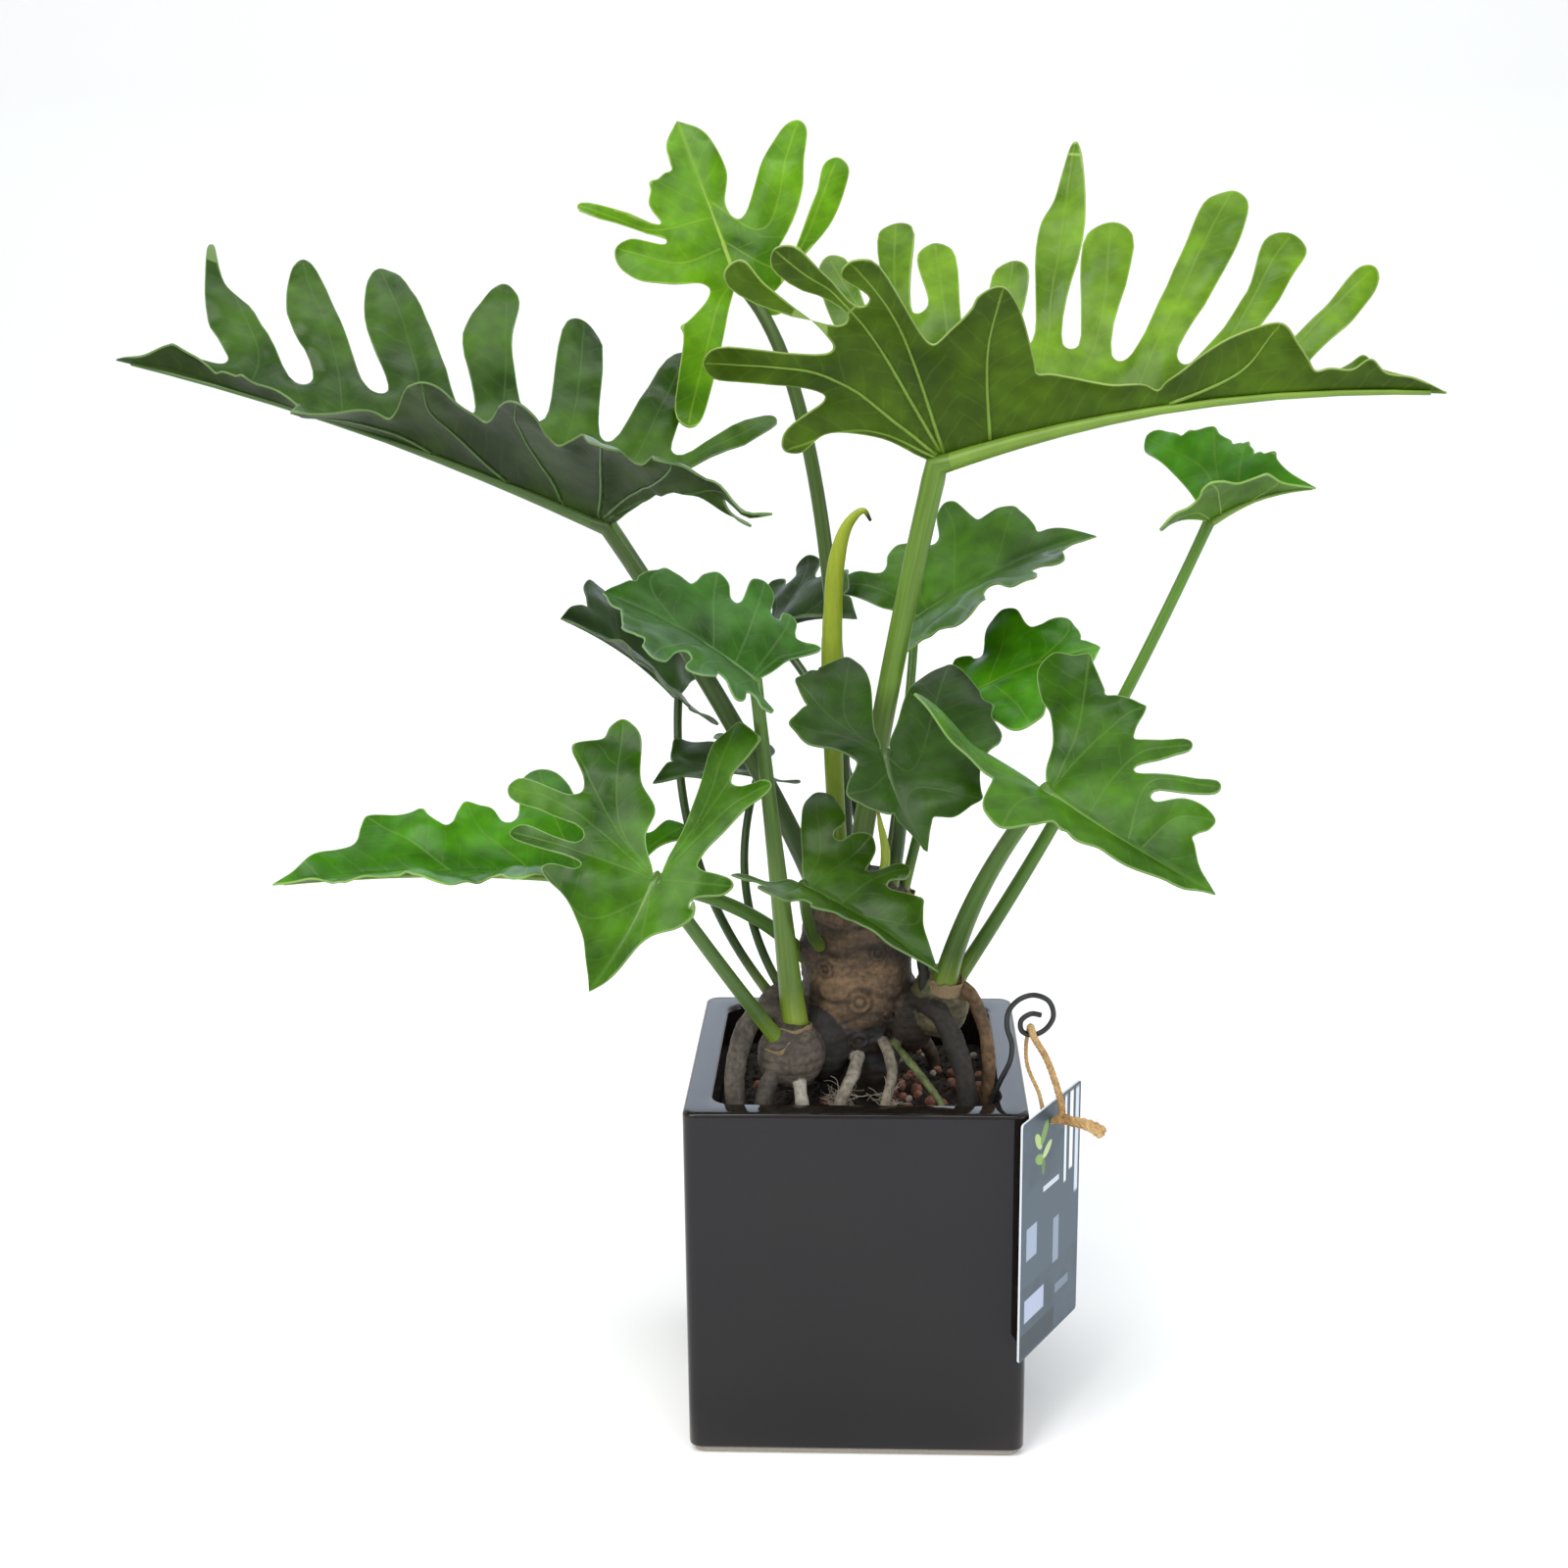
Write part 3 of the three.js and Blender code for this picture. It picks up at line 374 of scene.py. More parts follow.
def scatter(name, base, shape, spacing, smallest, largest, sink, rough, material, tilt=math.pi):
    """Scatters a shape over a base mesh with Geometry Nodes and returns the result as a mesh of its own.
    Points keep spacing apart, sizes lie between smallest and largest, and rough is how far a shape's own
    corners are moved by noise. A face attribute named scatter says where the shapes may stand."""
    tree = bpy.data.node_groups.new(name, "GeometryNodeTree")
    tree.interface.new_socket("Geometry", in_out="INPUT", socket_type="NodeSocketGeometry")
    inputs = {}
    for label, value in (("Spacing", spacing), ("Smallest", smallest), ("Largest", largest)):
        socket = tree.interface.new_socket(label, in_out="INPUT", socket_type="NodeSocketFloat")
        inputs[socket.identifier] = value
    tree.interface.new_socket("Geometry", in_out="OUTPUT", socket_type="NodeSocketGeometry")
    given = add_node(tree, "NodeGroupInput").outputs
    where = add_node(tree, "GeometryNodeInputNamedAttribute", {"Name": "scatter"},
                     data_type="FLOAT").outputs[0]
    spread = add_node(tree, "GeometryNodeDistributePointsOnFaces", {"Mesh": given["Geometry"],
                      "Distance Min": given["Spacing"], "Density Max": 0.6 / spacing ** 2,
                      "Density Factor": where, "Seed": len(name)}, distribute_method="POISSON").outputs
    if shape == "hair":
        line = add_node(tree, "GeometryNodeCurvePrimitiveBezierSegment",
                        {"Resolution": 6, "Start": (0, 0, -0.05), "Start Handle": (0.1, 0, 0.4),
                         "End Handle": (-0.3, 0.1, 0.7), "End": (0.1, -0.2, 1)})
        ring = add_node(tree, "GeometryNodeCurvePrimitiveCircle", {"Resolution": 3, "Radius": 0.022})
        made = add_node(tree, "GeometryNodeCurveToMesh", {"Curve": line.outputs[0],
                        "Profile Curve": ring.outputs[0], "Fill Caps": True}).outputs[0]
    else:
        rounds = 2 if largest < FINE_GRAIN else 3
        made = add_node(tree, "GeometryNodeMeshIcoSphere", {"Radius": 0.5, "Subdivisions": rounds}).outputs[0]
    turn = add_node(tree, "FunctionNodeRandomValue", {0: (-tilt, -tilt, -math.pi), 1: (tilt, tilt, math.pi)},
                    data_type="FLOAT_VECTOR").outputs[0]
    turned = add_node(tree, "FunctionNodeRotateRotation", {"Rotation": spread["Rotation"], "Rotate By": turn},
                      rotation_space="LOCAL").outputs[0]
    size = add_node(tree, "FunctionNodeRandomValue", {2: given["Smallest"], 3: given["Largest"]}).outputs[1]
    placed = add_node(tree, "GeometryNodeInstanceOnPoints", {"Points": spread["Points"], "Instance": made,
                      "Rotation": turned, "Scale": size}).outputs[0]
    real = add_node(tree, "GeometryNodeRealizeInstances", {"Geometry": placed}).outputs[0]
    at = add_node(tree, "GeometryNodeInputPosition").outputs[0]
    bumps = add_node(tree, "ShaderNodeTexNoise", {"Vector": at, "Scale": 0.8 / largest,
                     "Detail": 2.0}).outputs[1]
    middle = add_node(tree, "ShaderNodeVectorMath", {0: bumps, 1: (0.5, 0.5, 0.5)},
                      operation="SUBTRACT").outputs[0]
    moved = add_node(tree, "ShaderNodeVectorMath", {0: middle, "Scale": rough}, operation="SCALE").outputs[0]
    lowered = add_node(tree, "ShaderNodeVectorMath", {0: moved, 1: (0, 0, -sink)}, operation="ADD").outputs[0]
    shifted = add_node(tree, "GeometryNodeSetPosition", {"Geometry": real, "Offset": lowered}).outputs[0]
    dressed = add_node(tree, "GeometryNodeSetMaterial",
                       {"Geometry": shifted, "Material": material}).outputs[0]
    add_node(tree, "NodeGroupOutput", {0: dressed})
    modifier = base.modifiers.new(name, "NODES")
    modifier.node_group = tree
    for identifier, value in inputs.items():
        modifier[identifier] = value
    bpy.context.view_layer.update()
    mesh = bpy.data.meshes.new_from_object(base.evaluated_get(bpy.context.evaluated_depsgraph_get()))
    base.modifiers.remove(modifier)
    mesh.name = name
    piece = bpy.data.objects.new(name, mesh)
    bpy.context.scene.collection.objects.link(piece)
    mesh.shade_smooth()
    return piece


# The growing medium is a dark moist peaty mix that was pressed in by hand. Crumbs of it lie loose on
# top, with granules of fired red clay between them and a few pale stones.
SOIL_TOP = 135
GAP = 0.3


def soil_height(x, y):
    edge = CAVITY - GAP - max(abs(x), abs(y))
    bump = 1.6 * math.sin(0.31 * x + 1.3) * math.cos(0.27 * y) + 1.1 * math.sin(0.9 * x - 0.7 * y)
    mound = 3 * math.exp(-(x * x + y * y) / 1200)
    crumble = noise.noise((x / 5, y / 5, 0)) * 1.1 + noise.noise((x / 1.8, y / 1.8, 3)) * 0.5
    return SOIL_TOP + mound + crumble + (bump if edge > 8 else -1 + (bump + 1) * max(edge, 0) / 8)


def soil_mesh():
    half, corner = CAVITY - GAP, 10
    cells = 78
    corners, faces = [], []
    for j in range(cells + 1):
        for i in range(cells + 1):
            x, y = half * (2 * i / cells - 1), half * (2 * j / cells - 1)
            over = Vector((max(abs(x) - half + corner, 0), max(abs(y) - half + corner, 0)))
            if over.length > 0.1 and min(over) > 0:
                pull = max(over) / over.length
                x = math.copysign(half - corner + over.x * pull, x)
                y = math.copysign(half - corner + over.y * pull, y)
            corners.append((x, y, soil_height(x, y)))
    n = cells + 1
    for j in range(cells):
        for i in range(cells):
            a = j * n + i
            faces.append((a, a + 1, a + n + 1, a + n))
    ring = ([i for i in range(cells)] + [cells + j * n for j in range(cells)]
            + [cells * n + i for i in range(cells, 0, -1)] + [j * n for j in range(cells, 0, -1)])
    previous = ring
    for z, inset in ((POT_FLOOR + 3 + GAP, 0), (POT_FLOOR + GAP, 3)):
        made = []
        for k in ring:
            x, y, _ = corners[k]
            made.append(len(corners))
            share = 1 - inset / half
            corners.append((x * share, y * share, z))
        for k in range(len(ring)):
            after = (k + 1) % len(ring)
            faces.append((previous[after], previous[k], made[k], made[after]))
        previous = made
    faces.append(tuple(previous[::-1]))
    return corners, faces


def crumbly(name, dark, light, grain, bump_strength, roughness=0.95):
    """A dry or moist mineral surface in two colours, mixed by noise of a real grain size."""
    material = new_material(name)
    place = add_node(material, "ShaderNodeTexCoord").outputs["Object"]
    clods = add_node(material, "ShaderNodeTexNoise", {"Vector": place, "Scale": 1 / (5 * grain),
                     "Detail": 3.0})
    grains = add_node(material, "ShaderNodeTexNoise", {"Vector": place, "Scale": 1 / grain, "Detail": 5.0})
    blend = calculate(material, "MULTIPLY", clods.outputs[0], grains.outputs[0])
    share = add_node(material, "ShaderNodeMapRange", {"Value": blend, "From Min": 0.16, "From Max": 0.36})
    tint = mix_colours(material, share.outputs[0], linear(dark), linear(light))
    bump = add_node(material, "ShaderNodeBump", {"Height": grains.outputs[0], "Strength": bump_strength,
                    "Distance": 0.4 * grain})
    return finish_material(material, Base_Color=tint, Roughness=roughness,
                           Normal=bump.outputs[0])


def add_soil():
    soil = add_mesh("potting_mix", *soil_mesh())
    soil.data.materials.append(crumbly("moist_potting_mix", "#120d0a", "#2e221a", 1.6 * MM, 0.6))
    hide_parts("soil")
    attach(soil, "root")
    cells = 40
    span = CAVITY - 5
    top = [(span * (2 * i / cells - 1), span * (2 * j / cells - 1)) for j in range(cells + 1)
           for i in range(cells + 1)]
    faces = [(j * (cells + 1) + i, j * (cells + 1) + i + 1, (j + 1) * (cells + 1) + i + 1,
             (j + 1) * (cells + 1) + i)
             for j in range(cells) for i in range(cells)]
    bed = add_mesh("bed", [(x, y, soil_height(x, y)) for x, y in top], faces)
    shares = {
        "soil_crumbs": lambda x, y: 0.8,
        "clay_granules": lambda x, y: 0.8 if x > 8 and y < 20 else 0.12,
        "pale_stones": lambda x, y: 0.25,
    }
    kinds = (
        ("soil_crumbs", 1.5, 0.9, 2.4, 0.2, 1.0, crumbly("peat_crumbs", "#15100c", "#3a2b20", 0.8 * MM, 0.7)),
        ("clay_granules", 4.2, 3.4, 6.0, -0.9, 1.8,
         crumbly("fired_red_clay", "#5c3428", "#a87460", 0.7 * MM, 0.5, 0.85)),
        ("pale_stones", 9.0, 2.4, 4.0, -0.5, 1.2, crumbly("pale_grey_stone", "#7d766d", "#b9b0a4", 0.9 * MM,
         0.3, 0.8)),
    )
    for name, spacing, smallest, largest, sink, rough, material in kinds:
        density = bed.data.attributes.new("scatter", "FLOAT", "POINT")
        density.data.foreach_set("value", [shares[name](x, y) for x, y in top])
        loose = scatter(name, bed, "grain", spacing * MM, smallest * MM, largest * MM, sink * MM,
                        rough * MM, material)
        bed.data.attributes.remove(bed.data.attributes["scatter"])
        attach(loose, "root")
    bpy.data.objects.remove(bed)


add_soil()


# The trunk is woody: a swollen base ringed with the scars of old leaves, with two offshoots at its foot
# and thick roots of different ages that run down into the soil. It grew as one piece.
TRUNK_TOP = 236
TRUNK_PROFILE = (
    (126, 12), (138, 16), (150, 18.5), (160, 17.5), (168, 19), (177, 23), (186, 24.5), (195, 23),
    (203, 24), (211, 22.5), (218, 23), (226, 21.5), (232, 18), (TRUNK_TOP, 12),
)
# The scars of fallen roots and leaves on the front: how far across, how high and how wide each is.
SCARS = ((1.5, 186, 4.4), (1.0, 168, 3.6), (-13, 199, 3.0), (14, 178, 3.2), (9, 207, 3.0))
# Each offshoot's middle and half sizes, and its tint.
OFFSHOOTS = (
    ((-27, -37, 166), (14, 12, 15), "#5d5348"),
    ((-31, -24, 180), (11, 10, 12), "#4c4238"),
    ((-14, -22, 166), (12, 12, 18), "#2c2724"),
    ((35, -18, 183), (12.5, 11, 16), "#6a6248"),
    ((22, -12, 174), (12, 12, 16), "#33291f"),
)
# Each root's points, its radius at both ends, and its tint.
ROOTS = (
    (((-30, -32, 182), (-40, -36, 184), (-47, -42, 174), (-50, -46, 156), (-48, -48, 140), (-46, -48, 122)),
     4.6, 4, "#5a5248"),
    (((-30, -40, 166), (-37, -48, 154), (-39, -50, 140), (-39, -50, 124)), 4, 3.4, "#4e463e"),
    (((-24, -42, 160), (-22, -50, 150), (-21, -52, 138), (-21, -52, 124)), 3, 2.2, "#a39c90"),
    (((2, -18, 164), (-1, -34, 157), (-7, -44, 146), (-9, -46, 124)), 3, 2.4, "#9b9284"),
    (((8, -16, 172), (15, -34, 158), (12, -44, 146), (9, -46, 124)), 2.6, 2, "#8c8272"),
    (((22, -16, 184), (34, -30, 182), (42, -40, 168), (46, -45, 150), (46, -46, 122)), 4.6, 4, "#2e2823"),
    (((34, -18, 192), (46, -24, 190), (53, -32, 176), (55, -36, 160), (53, -37, 142), (52, -37, 124)),
     3, 2.6, "#6b5238"),
    (((12, -16, 168), (25, -34, 158), (35, -46, 148), (38, -51, 138), (38, -52, 126)), 1.7, 1.4, "#6f7a4a"),
    (((16, -12, 218), (25, -20, 210), (28, -23, 197), (28, -23, 184)), 2.6, 2.2, "#2b2a20"),
    (((-8, 2, 164), (-24, 18, 152), (-30, 24, 140), (-31, 25, 124)), 3.4, 2.6, "#5a4c3e"),
    (((8, 2, 166), (26, 18, 154), (33, 26, 141), (35, 28, 124)), 3.6, 2.8, "#5a4c3e"),
)
BARK_TINT = "#8a6e50"
BARK_VOXEL = 0.85


def trunk_radius(turn, z):
    """The trunk's radius, knobbly round its axis and ringed by the scars of fallen leaves."""
    heights = [row[0] for row in TRUNK_PROFILE]
    smooth = float(np.interp(z, heights, [row[1] for row in TRUNK_PROFILE]))
    knobbly = 1 + 0.035 * math.sin(3 * turn + z / 9) + 0.025 * math.sin(5 * turn - z / 6)
    return smooth * knobbly


def trunk_forms():
    corners, faces = [], []

    def take(made):
        first = len(corners)
        corners.extend(made[0])
        faces.extend(tuple(first + c for c in face) for face in made[1])

    loops = []
    for k in range(56):
        z = 126 + (TRUNK_TOP - 126) * k / 55
        lean = (z - 126) / 110 * 4
        loop = []
        for s in range(56):
            turn = 2 * math.pi * s / 56
            size = trunk_radius(turn, z)
            loop.append((size * math.cos(turn), size * math.sin(turn) - 8 + lean, z))
        loops.append(loop)
    take(lofted(loops))
    for centre, half, _ in OFFSHOOTS:
        ball = bmesh.new()
        bmesh.ops.create_icosphere(ball, subdivisions=4, radius=1)
        points = [tuple(c + h * v for c, h, v in zip(centre, half, corner.co)) for corner in ball.verts]
        take((points, [tuple(corner.index for corner in face.verts) for face in ball.faces]))
        ball.free()
    for path, start, end, _ in ROOTS:
        points = smooth_line(path, 8)
        count = len(points) - 1
        radii = [(start + (end - start) * k / count) * (1 + 0.07 * noise.noise((k / 3, start * 9, end)))
                 for k in range(count + 1)]
        take(tube(points, radii, 14))
    return corners, faces


def root_gaps(spots):
    """For points in millimetres: how far each is outside each root, as rows."""
    rows = []
    for path, start, end, _ in ROOTS:
        line = np.array([tuple(p) for p in smooth_line(path, 6)])
        radii = np.linspace(start, end, len(line))
        gaps = np.linalg.norm(spots[:, None] - line, axis=2) - radii
        rows.append(gaps.min(1))
    return rows


def offshoot_gaps(spots):
    rows = []
    for centre, half, _ in OFFSHOOTS:
        scaled = (spots - np.array(centre)) / np.array(half)
        rows.append((np.linalg.norm(scaled, axis=1) - 1) * min(half))
    return rows


def ringed(z, pitch, seed):
    """How deep into a leaf scar's groove a height is, 0 to 1, with rings at uneven heights."""
    shift = z / pitch + 0.35 * math.sin(z / 7 + seed)
    return math.exp(-((shift - round(shift)) / 0.13) ** 2)


def shape_bark(mesh):
    """Grooves, scars and roughness on the joined trunk, and its colours as attributes. On the trunk the
    colour holds a painted highlight, a tan band at the front, with painted shade towards its sides and above
    it.
    """
    spots = np.array([tuple(v.co / MM) for v in mesh.vertices])
    roots, offshoots = root_gaps(spots), offshoot_gaps(spots)
    lean = (spots[:, 2] - 126) / 110 * 4
    across = np.hypot(spots[:, 0], spots[:, 1] + 8 - lean)
    trunk_gap = across - np.interp(spots[:, 2], [r[0] for r in TRUNK_PROFILE],
                                   [r[1] for r in TRUNK_PROFILE]) - 1.2
    rows = np.vstack([[trunk_gap], offshoots, roots])
    owner = rows.argmin(0)
    tints = [linear(BARK_TINT)] + [linear(o[2]) for o in OFFSHOOTS] + [linear(r[3]) for r in ROOTS]
    moved, colours, grooves, hairy = [], [], [], []
    for k, (vertex, kind) in enumerate(zip(mesh.vertices, owner)):
        x, y, z = spots[k]
        groove, push = 0.0, 0.0
        if kind == 0:
            # The ring grooves are pushed in here, and their depth also darkens the bark as painted shade.
            groove = 0.9 * ringed(z + 4 * noise.noise((x / 16, y / 16, 0)), 12, 0)
            groove += 0.4 * ringed(z + 2 * noise.noise((x / 9, y / 9, 0)), 5, 2)
            push = -0.8 * groove + 0.9 * noise.noise((x / 6, y / 6, z / 9)) + 0.3 * noise.noise((x / 2,
                                                                                                y / 2, z / 3))
        elif kind <= len(OFFSHOOTS):
            groove = 0.6 * ringed(z + 1.6 * noise.noise((x / 8, y / 8, 3)), 5.5, kind)
            push = -0.5 * groove + 0.5 * noise.noise((x / 4, y / 4, z / 5))
        else:
            push = 0.35 * noise.noise((x / 3, y / 3, z / 7)) + 0.15 * noise.noise((x, y, z / 2))
        for across_at, height, size in SCARS:
            share = math.hypot(x - across_at, z - height) / size
            if share < 1.8 and kind == 0 and y < -10:
                push += 1.1 * math.exp(-((share - 0.85) / 0.2) ** 2) - 0.9 * math.exp(-(share / 0.5) ** 2)
                push += 0.9 * math.exp(-(share / 0.2) ** 2)
                # Each scar's dark rings lie in its hollows: they are partly the scar's own dark rim and
                # partly painted shade.
                ring = math.exp(-((share - 0.5) / 0.2) ** 2) + 0.8 * math.exp(-((share - 1.2) / 0.2) ** 2)
                groove = max(groove * min(share, 1), 1.3 * ring)
        moved.append(vertex.co + vertex.normal * push * MM)
        tint = Vector(tints[kind][:3])
        if kind == 0:
            # Painted light on the trunk: the tan shows only in a band at the front, about 184 to 197 mm high,
            # as a painted highlight. The trunk is painted darker towards both sides and above 197 mm as
            # painted shade, and much darker below 172 mm, with blue-grey patches there.
            low = min(max((z - 172) / 12, 0), 1)
            aside = min(abs(x + 1) / 20, 1) ** 1.5 * 0.7
            top = min(max((z - 197) / 12, 0), 1) * 0.55
            patch = 0.5 + 0.5 * noise.noise((x / 9, y / 9, z / 9))
            tint = tint * (0.14 + 0.86 * low) * (1 - aside) * (1 - top) * (0.65 + 0.6 * patch)
            blue = max(noise.noise((x / 7, y / 7, z / 7 + 4)), 0) * (1 - low)
            tint = tint.lerp(Vector(linear("#6c7880")[:3]), 0.5 * blue)
        if kind == 4:
            tint = tint.lerp(Vector(linear("#7f8a4a")[:3]), min(max((z - 186) / 12, 0), 1) * 0.7)
        colours += [tint.x, tint.y, tint.z, 1.0]
        grooves.append(groove)
        hairy.append(1.0 if kind in (9, 10) and z < 152 else 0.0)
    for vertex, place in zip(mesh.vertices, moved):
        vertex.co = place
    mesh.attributes.new("bark_tint_and_painted_light", "FLOAT_COLOR", "POINT").data.foreach_set("color", colours)
    mesh.attributes.new("bark_groove", "FLOAT", "POINT").data.foreach_set("value", grooves)
    mesh.attributes.new("scatter", "FLOAT", "POINT").data.foreach_set("value", hairy)


def woody_bark():
    """Corky living bark: the tint given at each place, which on the trunk holds a painted highlight and
    painted shade, darker in the grooves as painted shade, with fine fibres and flecks.
    """
    material = new_material("corky_bark")
    place = add_node(material, "ShaderNodeTexCoord").outputs["Object"]
    # This tint carries the trunk's painted highlight and painted shade, and the offshoots' and roots' own
    # tints.
    tint = add_node(material, "ShaderNodeAttribute", attribute_name="bark_tint_and_painted_light").outputs["Color"]
    groove = add_node(material, "ShaderNodeAttribute", attribute_name="bark_groove").outputs["Fac"]
    flecks = add_node(material, "ShaderNodeTexNoise", {"Vector": place, "Scale": 1 / (2.2 * MM),
                      "Detail": 5.0})
    patches = add_node(material, "ShaderNodeTexNoise", {"Vector": place, "Scale": 1 / (11 * MM),
                       "Detail": 3.0})
    mixed = calculate(material, "MULTIPLY", flecks.outputs[0], patches.outputs[0])
    shade = add_node(material, "ShaderNodeMapRange", {"Value": mixed, "From Min": 0.15, "From Max": 0.36,
                     "To Min": 0.45, "To Max": 1.25}).outputs[0]
    # Darker in the grooves and scar rings: painted shade in these hollows, and on the scars partly their own
    # dark rims.
    deep = calculate(material, "MULTIPLY_ADD", groove, -0.6, 1.0)
    both = calculate(material, "MULTIPLY", shade, deep)
    skin = mix_colours(material, 1.0, tint, both, blend_type="MULTIPLY")
    bump = add_node(material, "ShaderNodeBump", {"Height": flecks.outputs[0], "Strength": 0.6,
                    "Distance": 0.4 * MM})
    return finish_material(material, Base_Color=skin, Roughness=0.72, Normal=bump.outputs[0])


def papery(name, dark, light):
    """Dry papery sheath: thin dead tissue with lengthwise fibres."""
    material = new_material(name)
    place = add_node(material, "ShaderNodeTexCoord").outputs["UV"]
    stretched = add_node(material, "ShaderNodeMapping", {"Vector": place, "Scale": (60, 4, 1)})
    fibres = add_node(material, "ShaderNodeTexNoise", {"Vector": stretched.outputs[0], "Scale": 1.0,
                      "Detail": 3.0})
    tint = mix_colours(material, fibres.outputs[0], linear(dark), linear(light))
    bump = add_node(material, "ShaderNodeBump", {"Height": fibres.outputs[0], "Strength": 0.4,
                    "Distance": 0.3 * MM})
    return finish_material(material, Base_Color=tint, Roughness=0.7, Normal=bump.outputs[0],
                           Subsurface_Weight=0.1, Subsurface_Radius=(1.0, 0.6, 0.3),
                           Subsurface_Scale=0.8 * MM)


# Dry sheaths stand round the feet of the stalks: the middle of each foot, the way it points, its radius,
# its height, and how far round it reaches.
SHEATHS = (
    ((-26, -36, 177), (-0.1, -0.1, 1), 8.2, 8, 1.0),
    ((-31, -42, 172), (-0.5, -0.4, 1), 6.5, 7, 0.8),
    ((37, -23, 192), (0.2, -0.25, 1), 7.5, 9, 0.9),
    ((40, -15, 190), (0.5, 0.1, 1), 5.5, 8, 0.8),
    ((-13, -8, 228), (-0.3, 0, 1), 7.0, 12, 0.8),
    ((8, -16, 226), (0.2, -0.3, 1), 7.0, 10, 0.7),
    ((20, 2, 224), (0.3, 0.1, 1), 6.0, 11, 0.8),
)


def add_sheaths(material):
    corners, faces, uvs = [], [], []
    for number, (foot, way, radius, height, reach) in enumerate(SHEATHS):
        up = Vector(way).normalized()
        across = up.orthogonal().normalized()
        over = up.cross(across)
        columns, rows = 40, 8
        first = len(corners)
        for layer in (0, 1):
            for i in range(columns + 1):
                share = i / columns
                turn = 2 * math.pi * reach * share + number
                ragged = 0.72 + 0.28 * noise.noise((4 * share, number, 1)) + 0.16 * noise.noise((14 * share,
                                                                                                number, 5))
                tall = height * max(ragged, 0.2) * math.sin(math.pi * min(max(share, 0.04), 0.96)) ** 0.3
                for j in range(rows + 1):
                    rise = j / rows
                    flare = 1 - 0.16 * rise + 0.12 * rise * rise + 0.05 * math.sin(5 * turn + number) * rise
                    size = radius * flare - 0.5 * layer
                    spot = Vector(foot) + across * size * math.cos(turn) + over * size * math.sin(turn)
                    corners.append(spot + up * (tall * rise - 2.5))
        wide = rows + 1
        block = (columns + 1) * wide
        for i in range(columns):
            for j in range(rows):
                a = first + i * wide + j
                faces.append((a, a + wide, a + wide + 1, a + 1))
                faces.append((a + block, a + block + 1, a + block + wide + 1, a + block + wide))
                places = [(i / columns, j / rows), ((i + 1) / columns, j / rows),
                          ((i + 1) / columns, (j + 1) / rows), (i / columns, (j + 1) / rows)]
                uvs += [places, [places[0], places[3], places[2], places[1]]]
            top, low = first + i * wide + rows, first + i * wide
            faces.append((top, top + wide, top + wide + block, top + block))
            faces.append((low + wide, low, low + block, low + wide + block))
            uvs += [[(i / columns, 1)] * 4, [(i / columns, 0)] * 4]
        for j in range(rows):
            start, end = first + j, first + columns * wide + j
            faces.append((start, start + 1, start + 1 + block, start + block))
            faces.append((end + 1, end, end + block, end + 1 + block))
            uvs += [[(0, j / rows)] * 4, [(1, j / rows)] * 4]
    piece = add_mesh("dry_sheaths", corners, faces)
    piece.data.materials.append(material)
    layer = piece.data.uv_layers.new(name="fibres")
    for face, places in zip(piece.data.polygons, uvs):
        for loop, place in zip(face.loop_indices, places):
            layer.data[loop].uv = place
    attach(piece, "root")


def add_trunk():
    rough = add_mesh("rough_trunk", *trunk_forms())
    joined = rough.modifiers.new("joined", "REMESH")
    joined.mode = "VOXEL"
    joined.voxel_size = BARK_VOXEL * MM
    joined.use_smooth_shade = True
    bpy.context.view_layer.update()
    mesh = bpy.data.meshes.new_from_object(rough.evaluated_get(bpy.context.evaluated_depsgraph_get()))
    bpy.data.objects.remove(rough)
    shape_bark(mesh)
    trunk = bpy.data.objects.new("woody_trunk", mesh)
    bpy.context.scene.collection.objects.link(trunk)
    mesh.materials.clear()
    mesh.materials.append(woody_bark())
    mesh.shade_smooth()
    hair = papery("root_hair", "#8f8676", "#b8b0a0")
    hairs = scatter("root_hairs", trunk, "hair", 0.9 * MM, 3 * MM, 9 * MM, 0, 0.6 * MM, hair, 1.0)
    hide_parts("trunk")
    for piece in (trunk, hairs):
        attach(piece, "root")
    add_sheaths(papery("papery_sheath", "#5b4a38", "#a08a66"))


add_trunk()


